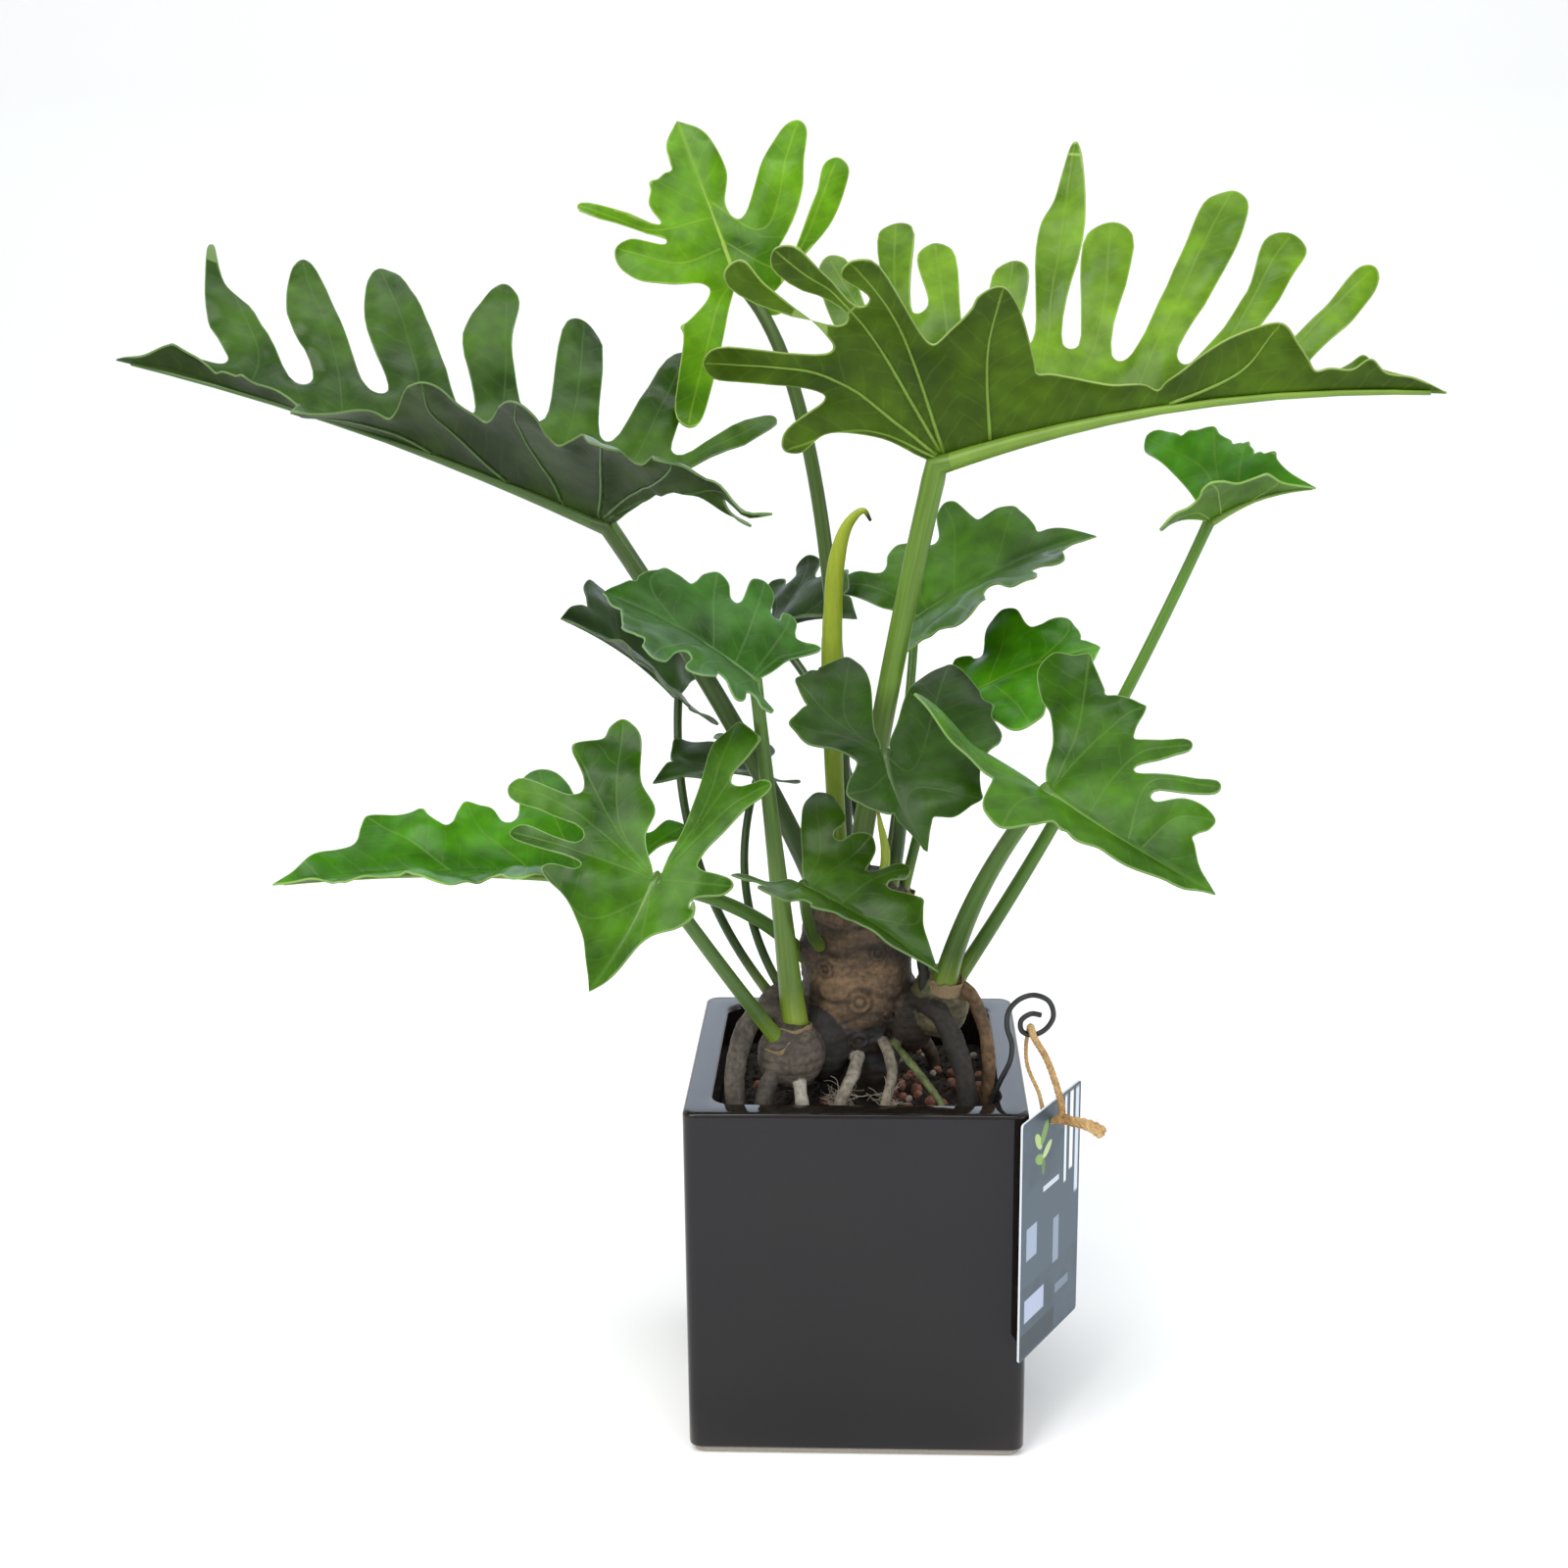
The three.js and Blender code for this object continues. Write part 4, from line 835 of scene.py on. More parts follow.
# The leaves are living tissue: a waxy blade cut into lobes on a long fleshy stalk. Each grew as one
# piece, and its stalk runs on through the blade as the midrib, with one vein to each lobe.
# A leaf's stalk runs from foot past bend to joint, where the blade begins, and stalk gives its radius
# at both ends. The midrib runs from joint to tip, raised by arch and pushed sideways by bow. The upper
# side looks to face, each half is folded up by fold degrees, and curl is how far a half bends back down
# where it reaches CURL_REACH out. Left and right trace the edge of each half from the joint to the tip.
# A place says how far along the midrib it is and how far out, how much a lobe's end or a cut's bottom
# is rounded there, and how much it is lifted.
LEAVES = {
    "leaf_a": {
        "foot": (-14, -10, 224), "bend": (-40, -12, 290), "joint": (-100, -10, 382), "tip": (-304, 15, 448),
        "stalk": (4.4, 3.8), "face": (0, 0, 1), "fold": (45, 38), "arch": 5, "bow": 0, "curl": (10, 2),
        "left": (
            (-13, 28), (-27, 58), (-42, 68), (-60, 66, 2, -4), (-48, 76, 2), (-68, 92, 1), (-40, 86, 3),
            (-24, 96, 4), (-12, 72, 3), (0, 86, 6), (20, 58, 3), (38, 72, 7), (54, 38, 3), (78, 54, 8, 4),
            (94, 20, 3), (104, 26), (124, 32, 7, -20), (134, 8, 3), (158, 14, 5), (172, 6, 3),
            (190, 14, 3, 4),
            (204, 6),
        ),
        "right": (
            (-14, 40), (-36, 98, 4), (-8, 52, 3), (10, 112, 5), (20, 44, 3), (54, 104, 7), (47, 36, 3),
            (74, 74), (90, 108, 6, 4), (94, 70), (74, 28, 3), (112, 74), (142, 98, 4), (134, 62),
            (110, 22, 4),
            (138, 50), (170, 82, 4), (162, 48), (140, 16, 4), (180, 50), (194, 58), (206, 74, 1, 6),
            (192, 36), (174, 12, 4), (194, 14, 5), (208, 6),
        ),
    },
    "leaf_b": {
        "foot": (-2, -14, 224), "bend": (10, -20, 310), "joint": (32, -25, 408), "tip": (223, -45, 436),
        "stalk": (4.5, 4.6), "face": (0, 0, 1), "fold": (60, 68), "arch": 9, "bow": 0, "curl": (3, 3),
        "left": (
            (-12, 36), (-26, 74), (-22, 108, 6), (-8, 72, 3), (6, 117, 6), (8, 66, 3), (18, 98, 6),
            (24, 46, 3),
            (44, 80, 6), (42, 38, 3), (54, 88), (62, 104), (72, 126, 1, 10), (71, 88), (58, 34, 3),
            (80, 86, 8),
            (76, 24, 4), (102, 66), (122, 93, 7), (120, 62), (98, 17, 3), (124, 46), (141, 71, 7), (138, 46),
            (120, 13, 3), (150, 34), (168, 50, 4, 4), (160, 28), (144, 9, 3), (164, 14, 5), (182, 6),
        ),
        "right": (
            (-16, 18), (-36, 28), (-52, 30, 5, -6), (-30, 44, 3), (-50, 58), (-68, 73, 7), (-20, 62, 3),
            (-34, 96),
            (-46, 106, 6), (-12, 70, 3), (-26, 108, 6), (-3, 74, 3), (-2, 94, 6), (14, 50, 3), (30, 60),
            (42, 64, 7), (46, 26, 4), (66, 16), (88, 8, 4), (112, 24), (134, 30, 9), (146, 10, 4),
            (166, 13, 6),
            (182, 6),
        ),
    },
    "leaf_c": {
        "foot": (-5, 11, 230), "bend": (-8, 42, 440), "joint": (-51, 60, 476), "tip": (-77, 85, 542),
        "stalk": (3.4, 2.8), "face": (0.1, -1, 0.3), "fold": (12, 12), "arch": 2, "bow": 0, "curl": (4, 4),
        "left": (
            (-12, 8), (-28, 18), (-52, 40, 5, -6), (-12, 30, 3), (0, 12, 3), (6, 28), (12, 40), (28, 44, 6),
            (24, 23, 1), (47, 55, 2, 5), (32, 23, 1), (41, 25), (51, 21, 3), (54, 10, 3), (66, 8),
        ),
        "right": (
            (-12, 4), (-19, 14, 4), (-10, 13, 2), (8, 44), (20, 56), (33, 58, 5), (22, 44), (6, 30),
            (-2, 18, 3),
            (20, 36), (36, 44), (56, 48, 4), (43, 28), (24, 10, 3), (34, 7), (47, 12), (66, 9),
        ),
    },
    "leaf_e": {
        "foot": (40, -15, 188), "bend": (95, -14, 275), "joint": (141, -10, 383), "tip": (181, -18, 397),
        "stalk": (3.3, 2.3), "face": (0, 0, 1), "fold": (45, 28), "arch": 3, "bow": 0, "curl": (6, 4),
        "left": (
            (-2, 20), (-6, 40), (-8, 63, 5), (4, 48, 2), (13, 46, 4), (17, 34, 2), (22, 32, 2), (23, 23, 2),
            (30, 19, 3), (34, 8),
        ),
        "right": ((-4, 12), (-13, 30, 5), (2, 24, 3), (10, 31, 4), (18, 18, 2), (27, 20, 3), (32, 8)),
    },
    "leaf_f": {
        "foot": (13, 8, 228), "bend": (22, 20, 290), "joint": (25, 50, 333), "tip": (103, 60, 367),
        "stalk": (2.3, 1.9), "face": (0, 0, 1), "fold": (35, 5), "arch": 4, "bow": 0, "curl": (4, 4),
        "left": (
            (-10, 20), (-18, 44, 5), (0, 34, 3), (12, 48, 6), (24, 34, 3), (36, 54, 4), (44, 32, 3),
            (60, 33, 4),
            (64, 14, 3), (74, 9),
        ),
        "right": (
            (-10, 24), (-14, 44, 6), (4, 36, 3), (20, 53, 7), (31, 36, 3), (46, 49, 6), (52, 28, 3),
            (65, 29, 5),
            (67, 12, 3), (76, 8),
        ),
    },
    "leaf_g": {
        "foot": (14, -7, 226), "bend": (24, -22, 288), "joint": (12, -58, 299), "tip": (28, -88, 268),
        "stalk": (3, 2.6), "face": (0, -0.8, 0.6), "fold": (3, 10), "arch": 3, "bow": 3, "curl": (2, 4),
        "left": (
            (-15, 6), (-34, 14), (-44, 30, 6), (-30, 40), (-20, 45, 4, -2), (-4, 46), (14, 36), (24, 33),
            (39, 29, 4), (40, 16), (36, 9, 2),
        ),
        "right": (
            (-10, 3), (-38, 3), (-52, 10, 5), (-42, 24, 2), (-38, 33, 3), (-26, 29, 2), (-15, 37, 4),
            (-3, 28),
            (4, 12, 2), (17, 19, 5), (25, 10), (28, 4, 2), (36, 2),
        ),
    },
    "leaf_h": {
        "foot": (36, -24, 190), "bend": (46, -36, 240), "joint": (73, -84, 291), "tip": (133, -116, 260),
        "stalk": (5, 3.2), "face": (0.2, -0.75, 0.65), "fold": (10, 35), "arch": 3, "bow": 3, "curl": (4, 6),
        "left": (
            (-6, 6), (-13, 18), (-24, 28), (-32, 32), (-43, 42), (-43, 52), (-32, 60, 5), (-12, 47, 3),
            (2, 54, 3), (9, 40, 3), (34, 49, 3), (20, 28, 2), (56, 38, 3), (34, 21, 2), (46, 27), (61, 26, 4),
            (57, 15, 2), (66, 6),
        ),
        "right": (
            (-22, 3), (-50, 15), (-56, 23, 2, 13), (-32, 24), (-14, 17, 3), (-6, 30), (7, 35, 7, -3),
            (16, 19, 3),
            (28, 22, 6), (44, 14), (60, 8),
        ),
    },
    "leaf_i": {
        "foot": (-31, -40, 172), "bend": (-50, -58, 205), "joint": (-77, -80, 255), "tip": (-102, -96, 214),
        "stalk": (3.3, 2.8), "face": (-0.2, -0.85, 0.5), "fold": (10, 10), "arch": 3, "bow": -3,
        "curl": (4, 5),
        "left": (
            (-18, 3), (-42, 3), (-56, 2), (-67, 9, 6), (-61, 23, 3, 5), (-42, 17, 3), (-45, 33, 3, 3),
            (-24, 22),
            (-9, 14, 2), (-3, 33, 3), (5, 17, 2), (9, 22, 5), (24, 8), (40, 5),
        ),
        "right": (
            (-14, 10), (-26, 11), (-34, 20), (-52, 28), (-57, 38, 5), (-47, 42), (-41, 53, 2), (-23, 41, 4),
            (-17, 70, 4), (-6, 33, 3), (0, 62, 4), (6, 29, 2), (15, 43, 4), (24, 28), (34, 16),
        ),
    },
    "leaf_j": {
        "foot": (-17, -8, 193), "bend": (-44, -14, 230), "joint": (-95, -20, 235), "tip": (-237, -45, 241),
        "stalk": (3.3, 2.8), "face": (0, 0, 1), "fold": (20, 35), "arch": 4, "bow": 0, "curl": (8, 3),
        "left": (
            (-8, 10), (-19, 23, 5), (-4, 20, 3), (10, 38, 6), (24, 24, 3), (44, 46, 7), (58, 22, 3),
            (78, 42, 7),
            (94, 18, 3), (113, 25, 5), (120, 8, 3), (134, 5),
        ),
        "right": (
            (-12, 20), (-24, 34, 6), (-6, 28, 3), (6, 54, 6), (16, 36, 3), (37, 64, 7), (48, 30, 3), (56, 38),
            (67, 40, 5), (75, 24, 3), (84, 34, 4), (107, 36, 5), (112, 20), (126, 14), (136, 6),
        ),
    },
    "leaf_k": {
        "foot": (-25, -34, 174), "bend": (-31, -40, 240), "joint": (-39, -48, 326), "tip": (-99, -42, 360),
        "stalk": (5.6, 2.6), "face": (0, 0, 1), "fold": (0, 30), "arch": 3, "bow": 0, "curl": (8, 3),
        "left": (
            (-5, 8), (-12, 18, 4), (-1, 16, 2), (2, 27, 4), (12, 18, 2), (18, 34, 6), (28, 24, 3),
            (37, 42, 5),
            (44, 32, 2), (53, 31, 4), (58, 13, 2), (64, 8),
        ),
        "right": (
            (-3, 10), (-6, 24), (-12, 40, 2), (-2, 36, 2), (5, 47, 3), (9, 36, 2), (20, 50, 5), (24, 31, 2),
            (36, 39, 5), (42, 26, 2), (53, 28, 5), (60, 12, 2), (66, 6),
        ),
    },
    "leaf_l": {
        "foot": (-36, -20, 186), "bend": (-80, 8, 232), "joint": (-77, 34, 302), "tip": (-124, 14, 340),
        "stalk": (2.1, 1.8), "face": (0, 0, 1), "fold": (0, 40), "arch": 3, "bow": 0, "curl": (5, 3),
        "left": ((-8, 12), (-13, 22, 5), (0, 20, 3), (13, 35, 6), (24, 23, 3), (38, 27, 5), (46, 12, 3),
                 (56, 8)),
        "right": ((-6, 20), (-14, 40, 5), (2, 30, 3), (22, 55, 4), (28, 24, 4), (50, 36, 5), (52, 14, 3),
                  (60, 8)),
    },
    "leaf_m": {
        "foot": (4, 14, 228), "bend": (-4, 32, 300), "joint": (-40, 66, 325), "tip": (0, 40, 335),
        "stalk": (2.2, 1.9), "face": (0, 0, 1), "fold": (40, 10), "arch": 3, "bow": 0, "curl": (4, 4),
        "left": ((-2, 18), (-7, 34, 5), (4, 28, 3), (9, 43, 5), (18, 26, 3), (30, 30, 5), (37, 12, 3),
                 (44, 6)),
        "right": ((-8, 10), (-14, 18, 4), (-2, 14, 3), (6, 21, 5), (17, 12, 3), (30, 14, 4), (38, 8, 2)),
    },
    "leaf_n": {
        "foot": (-14, -17, 206), "bend": (-20, -36, 216), "joint": (-20, -70, 249), "tip": (32, -100, 224),
        "stalk": (2.8, 2.3), "face": (0.2, -0.6, 0.75), "fold": (10, 40), "arch": 3, "bow": 0, "curl": (3, 5),
        "left": (
            (-8, 10), (-17, 22), (-25, 42, 5), (-12, 40), (-4, 34), (-3, 25, 2), (7, 35, 5), (13, 27),
            (15, 20, 2),
            (31, 28, 4), (28, 17, 2), (42, 21, 3), (49, 12), (58, 5),
        ),
        "right": ((-6, 14), (-14, 30, 5), (-3, 22, 3), (5, 34, 6), (12, 18, 3), (22, 23, 5), (30, 10, 3),
                  (44, 8)),
    },
    "leaf_o": {
        "foot": (-28, -18, 182), "bend": (-58, -8, 225), "joint": (-42, 18, 272), "tip": (-84, -14, 276),
        "stalk": (2, 1.7), "face": (0, 0, 1), "fold": (5, 24), "arch": 3, "bow": 0, "curl": (3, 3),
        "left": ((-6, 8), (-12, 14, 3), (0, 10, 2), (10, 17, 4), (21, 9, 2), (34, 16, 4), (42, 6, 2),
                 (48, 4)),
        "right": ((-10, 12), (-19, 26, 4), (-7, 21, 2), (2, 33, 5), (13, 18, 3), (28, 25, 5), (38, 9, 2),
                  (46, 5)),
    },
    "leaf_d": {
        "foot": (19, -1, 222), "bend": (30, -2, 270), "joint": (40, 6, 305), "tip": (100, 0, 330),
        "stalk": (2.3, 1.9), "face": (0, 0, 1), "fold": (30, -20), "arch": 3, "bow": 0, "curl": (3, 3),
        "left": ((2, 12), (7, 26, 5), (17, 22, 3), (30, 40, 6), (40, 22, 3), (54, 25, 5), (58, 8, 2)),
        "right": ((-4, 18), (0, 40, 6), (14, 30, 3), (32, 47, 7), (42, 24, 3), (59, 27, 5), (60, 9, 2)),
    },
}
BLADE_THICK = 0.8
CURL_REACH = 60
LIFT_SPREAD = 14
WAVE = 2.4
EDGE_STEPS = 7
MESH_STEP = 3.0


def bend_point(a, b, c, t):
    return a * (1 - t) ** 2 + b * (2 * t * (1 - t)) + c * t * t


def blade_surface(leaf):
    """The length of the midrib, and a function from a place on a folded half to a point."""
    joint, tip = Vector(leaf["joint"]), Vector(leaf["tip"])
    face = Vector(leaf["face"]).normalized()
    length = (tip - joint).length
    run = (tip - joint).normalized()
    side = run.cross(face).normalized()
    up = side.cross(run)
    control = (joint + tip) / 2 + up * 2 * leaf["arch"] + side * 2 * leaf["bow"]

    def place(half, along, out, lift):
        t = min(max(along / length, 0), 1)
        ahead = ((control - joint) * (1 - t) + (tip - control) * t) * (2 / length)
        point = bend_point(joint, control, tip, t) + ahead * (along - t * length)
        ahead.normalize()
        across = ahead.cross(face).normalized()
        normal = across.cross(ahead)
        fold = math.radians(leaf["fold"][0 if half < 0 else 1])
        level = out * math.cos(fold) - lift * math.sin(fold)
        climb = out * math.sin(fold) + lift * math.cos(fold)
        return point + across * half * level + normal * climb

    return length, place


def lift_of(leaf, half, seed, along, out):
    """How much a place rises above its flat half: lobes curl back, some are lifted, and all is waved."""
    side = 0 if half < 0 else 1
    lift = -leaf["curl"][side] * (out / CURL_REACH) ** 2
    for spot in leaf["left"] if half < 0 else leaf["right"]:
        if len(spot) > 3:
            near = (along - spot[0]) ** 2 + (out - spot[1]) ** 2
            lift += spot[3] * math.exp(-near / (2 * LIFT_SPREAD ** 2))
    return lift + WAVE * min(out / 25, 1) * math.sin(along / 9 + seed + half) * math.cos(out / 15 + seed)


def edge_of(places, length):
    """The edge of half a blade, from the joint to the tip, as places on the flat half."""
    spots = [Vector((0, 0))] + [Vector(spot[:2]) for spot in places] + [Vector((length, 0))]
    path = []
    for i, spot in enumerate(spots):
        given = places[i - 1] if 0 < i < len(spots) - 1 else ()
        if len(given) < 3:
            path.append(spot)
            continue
        back = (spots[i - 1] - spot).normalized()
        on = (spots[i + 1] - spot).normalized()
        inward = (back + on).normalized() * 0.7 * given[2]
        aside = (back - on).normalized() * given[2]
        path += [spot + inward + aside, spot, spot + inward - aside]
    edge = smooth_line(path, EDGE_STEPS)[1:-1]
    return [(p.x, max(p.y, 1.8 if p.x < 0 else 0.8)) for p in edge]


def veins_of(places, length):
    """A vein for each lobe, in the flat of its half: from the midrib, between the cuts on both sides of
    the lobe, to just short of its end."""
    spots = [Vector((0, 0))] + [Vector(spot[:2]) for spot in places] + [Vector((length, 0))]
    turns = [0.0]
    for before, here, after in zip(spots, spots[1:], spots[2:]):
        turns.append((here - before).angle_signed(after - here, 0))
    turns.append(0.0)
    cuts = [0] + [i for i, turn in enumerate(turns) if turn < -0.7] + [len(spots) - 1]
    veins = []
    for i, turn in enumerate(turns):
        if turn < 0.95 or spots[i].y < 9:
            continue
        low = max(c for c in cuts if c < i)
        high = min(c for c in cuts if c > i)
        middle = (spots[low] + spots[high]) / 2
        middle = middle.lerp(spots[i], 0.12)
        along = spots[i].x
        start = along * (0.5 + 0.3 * (along / length) ** 2) if along > 0 else 0.02 * length
        line = smooth_line([(start, 0), middle, spots[i].lerp(middle, 0.04)], 24)
        veins.append(np.array([tuple(p) for p in line]))
    return veins


def to_line(points, line):
    """For flat points, the distance to a line of points, signed by its side, and how far along that is."""
    starts, run = line[:-1], np.diff(line, axis=0)
    size = np.maximum((run ** 2).sum(1), 1e-9)
    off = points[:, None] - starts
    t = np.clip((off * run).sum(2) / size, 0, 1)
    gap = np.linalg.norm(off - t[..., None] * run, axis=2)
    rows = np.arange(len(points))
    best = gap.argmin(1)
    before = np.concatenate(([0], np.cumsum(np.sqrt(size))))
    along = before[best] + t[rows, best] * np.sqrt(size[best])
    side = np.sign(off[rows, best, 0] * run[best, 1] - off[rows, best, 1] * run[best, 0])
    return gap[rows, best], along, np.where(side == 0, 1, side)


def inside(points, outline):
    """Which flat points lie inside a closed outline."""
    ends = np.roll(outline, -1, axis=0)
    x, y = points[:, 0:1], points[:, 1:2]
    crossed = (outline[:, 1] > y) != (ends[:, 1] > y)
    rise = np.where(ends[:, 1] == outline[:, 1], 1e-9, ends[:, 1] - outline[:, 1])
    at = outline[:, 0] + (y - outline[:, 1]) * (ends[:, 0] - outline[:, 0]) / rise
    return (crossed & (x < at)).sum(1) % 2 == 1


class Sheet:
    """The middle of a blade as points and triangles, with each point's place on its half."""

    def __init__(self):
        self.points, self.flats, self.margins = [], [], []
        self.faces, self.on_vein = [], []

    def add(self, point, flat, margin):
        self.points.append(point)
        self.flats.append(flat)
        self.margins.append(margin)
        return len(self.points) - 1


def half_places(outline, veins):
    """The flat points inside half a blade: along its veins and in a net between them."""
    kept = []
    for vein in veins:
        spaced = vein[::2]
        free = inside(spaced, outline) & (to_line(spaced, np.vstack([outline, outline[:1]]))[0] > 1.2)
        stop = len(free) if free[2:].all() else 2 + int(np.argmin(free[2:]))
        kept.append([p for p, ok in zip(spaced[:stop], free[:stop]) if ok])
    low, high = outline.min(0), outline.max(0)
    xs = np.arange(low[0], high[0], MESH_STEP)
    net = [(x + (MESH_STEP / 2 if row % 2 else 0), y)
           for row, y in enumerate(np.arange(low[1], high[1], MESH_STEP * 0.87)) for x in xs]
    net = np.array(net)
    net = net[inside(net, outline)]
    net = net[to_line(net, np.vstack([outline, outline[:1]]))[0] > 0.5 * MESH_STEP]
    for line in kept:
        if len(line) > 1:
            net = net[to_line(net, np.array(line))[0] > 0.55 * MESH_STEP]
    return kept, net


def blade_sheet(leaf, seed):
    length, place = blade_surface(leaf)
    sheet = Sheet()
    steps = max(int(length / MESH_STEP), 8)
    middle = [length * k / steps for k in range(steps + 1)]
    for along in middle:
        sheet.add(place(1, along, 0, 0), (1, along, 0), 20.0 if 0 < along < length else 0.0)
    ribs = []
    midrib = np.array([(0.0, 0.0), (length, 0.0)])
    for half in (-1, 1):
        places = leaf["left"] if half < 0 else leaf["right"]
        edge = edge_of(places, length)
        outline = np.array([(along, 0.0) for along in middle[::-1]] + edge)
        border = np.array([(0.0, 0.0)] + edge + [(length, 0.0)])
        veins = veins_of(places, length)
        kept, net = half_places(outline, veins)
        flats = [tuple(p) for p in outline] + [tuple(p) for line in kept for p in line] + [tuple(p)
                                                                                           for p in net]
        cut = delaunay_2d_cdt([Vector(p) for p in flats], [], [list(range(len(outline)))], 1, 1e-5)
        made, faces, sources = cut[0], cut[2], cut[3]
        flat = np.array([tuple(p) for p in made])
        margins = to_line(flat, border)[0]
        lines = [midrib] + [line for line in veins]
        measured = [to_line(flat, line) for line in lines]
        nearest = np.min([m[0] for m in measured], axis=0)
        corner_of = []
        for k, (along, out) in enumerate(flat):
            source = sources[k][0] if sources[k] else len(flats)
            if source <= steps:
                corner_of.append(steps - source)
                continue
            puff = 1.3 * (1 - math.exp(-nearest[k] / 5)) * min(margins[k] / 5, 1)
            wilt = noise.noise((along / 13, out / 13,
                               seed)) * 3.2 * math.exp(-margins[k] / 9) * min(out / 8, 1)
            wilt += noise.noise((along / 30, out / 30, seed + 7)) * 2.5 * min(out / 25, 1)
            lift = lift_of(leaf, half, seed, along, out) + puff + wilt
            corner_of.append(sheet.add(place(half, along, out, lift), (half, along, out), margins[k]))
        index_of = {source: k for k, group in enumerate(sources) for source in group}
        first = len(outline)
        for vein, line in zip(veins, kept):
            rib = [corner_of[index_of[first + k]] for k in range(len(line)) if first + k in index_of]
            first += len(line)
            if len(rib) > 4:
                ribs.append((rib, float(np.linalg.norm(vein[-1] - vein[0]))))
        for face in faces:
            face = list(face)[::-1] if half > 0 else list(face)
            centre = flat[face].mean(0)
            gaps = [to_line(centre[None], line)[0][0] for line in lines]
            best = int(np.argmin(gaps))
            gap, along, side = measured[best]
            sheet.faces.append([corner_of[c] for c in face])
            sheet.on_vein.append([(gap[c] * side[c] + 400 * (best == 0), along[c]) for c in face])
    return sheet, ribs, length, place


def border_of(faces):
    """The edges that only one face has, each pointing the way its face runs."""
    ways = {(face[i - 1], corner) for face in faces for i, corner in enumerate(face)}
    return sorted((a, b) for a, b in ways if (b, a) not in ways)


class Growth:
    """Collects the corners and faces of one leaf, with what the materials read from them."""

    def __init__(self):
        self.corners, self.faces, self.slots, self.uvs = [], [], [], []
        self.margin, self.midrib, self.under = [], [], []
        self.sharp = set()

    def add(self, corners, faces, slot, uvs, margin=None, midrib=None, under=None):
        first = len(self.corners)
        count = len(corners)
        self.corners += corners
        self.faces += [tuple(first + c for c in face) for face in faces]
        self.slots += [slot] * len(faces)
        self.uvs += uvs
        self.margin += margin or [50.0] * count
        self.midrib += midrib or [50.0] * count
        self.under += under or [0.5] * count
        return first


def grow_blade(growth, sheet):
    """The sheet made BLADE_THICK thick, with a wall round its border."""
    total = len(sheet.points)
    normals = [Vector() for _ in range(total)]
    for face in sheet.faces:
        a, b, c = (sheet.points[k] for k in face)
        turn = (b - a).cross(c - a)
        for k in face:
            normals[k] += turn
    for normal in normals:
        normal.normalize()
    border = border_of(sheet.faces)
    midrib = [flat[2] for flat in sheet.flats]
    top = [p + n * BLADE_THICK / 2 for p, n in zip(sheet.points, normals)]
    bottom = [p - n * BLADE_THICK / 2 for p, n in zip(sheet.points, normals)]
    faces = [tuple(face) for face in sheet.faces]
    faces += [tuple(c + total for c in reversed(face)) for face in sheet.faces]
    faces += [(b, a, a + total, b + total) for a, b in border]
    uvs = list(sheet.on_vein) + [list(reversed(face)) for face in sheet.on_vein]
    uvs += [[(40, 0)] * 4] * len(border)
    first = growth.add(top + bottom, faces, 0, uvs, sheet.margins * 2, midrib * 2, [0.0] * total
                       + [1.0] * total)
    for a, b in border:
        growth.sharp.add((first + a, first + b))
        growth.sharp.add((first + a + total, first + b + total))
    return normals


def grow_veins(growth, sheet, ribs, normals, leaf):
    """Raised veins on the underside: one along each lobe, thinning towards its end."""
    for path, size in ribs:
        kept = path[:-1]
        reach = len(kept) - 1
        thick = min(0.014 * size, 0.2 * leaf["stalk"][1], 0.8)
        radii = [thick * (1 - 0.75 * k / reach) for k in range(reach + 1)]
        points = [sheet.points[c] - normals[c] * (BLADE_THICK * 0.4 + r * 0.2) for c, r in zip(kept, radii)]
        corners, faces = tube(points, radii, 6)
        growth.add(corners, faces, 2, [[(40, 0)] * len(face) for face in faces])


def grow_stalk(growth, leaf, place, length):
    """The fleshy stalk, which swells at its foot and just under the blade, and runs on as the midrib."""
    foot, bend, joint = (Vector(leaf[key]) for key in ("foot", "bend", "joint"))
    thick, thin = leaf["stalk"]
    steps = 30
    points, radii = [], []
    for k in range(steps + 1):
        t = k / steps
        points.append(bend_point(foot, bend, joint, t))
        sheath = 0.12 * math.exp(-t / 0.06)
        collar = 0.1 * math.exp(-((1 - t) / 0.03) ** 2)
        radii.append((thin + (thick - thin) * (1 - t) ** 1.5) * (1 + sheath + collar))
    for t in (0.03, 0.07, 0.12, 0.18, 0.26, 0.35, 0.45, 0.56, 0.68, 0.8, 0.9, 0.97):
        share = max(0.82 - t, 0.36 - 0.3 * t) if t < 0.45 else 0.37 - 0.33 * (t - 0.45)
        radius = max(thin * share, 0.3)
        points.append(place(1, t * length, 0, -0.5 * radius))
        radii.append(radius)
    sides = 14
    corners, faces = tube(points, radii, sides)
    run = [0.0]
    for a, b in zip(points, points[1:]):
        run.append(run[-1] + (b - a).length)
    uvs = []
    for i in range(len(points) - 1):
        for k in range(sides):
            low, high = k / sides, (k + 1) / sides
            uvs.append([(low, run[i] / 100), (high, run[i] / 100), (high, run[i + 1] / 100),
                       (low, run[i + 1] / 100)])
    uvs += [[(0, 0)] * sides, [(0, run[-1] / 100)] * sides]
    first = len(growth.faces)
    growth.add(corners, faces, 1, uvs)
    for i in range(steps + 1, len(points) - 1):
        for k in range(sides):
            growth.slots[first + i * sides + k] = 2


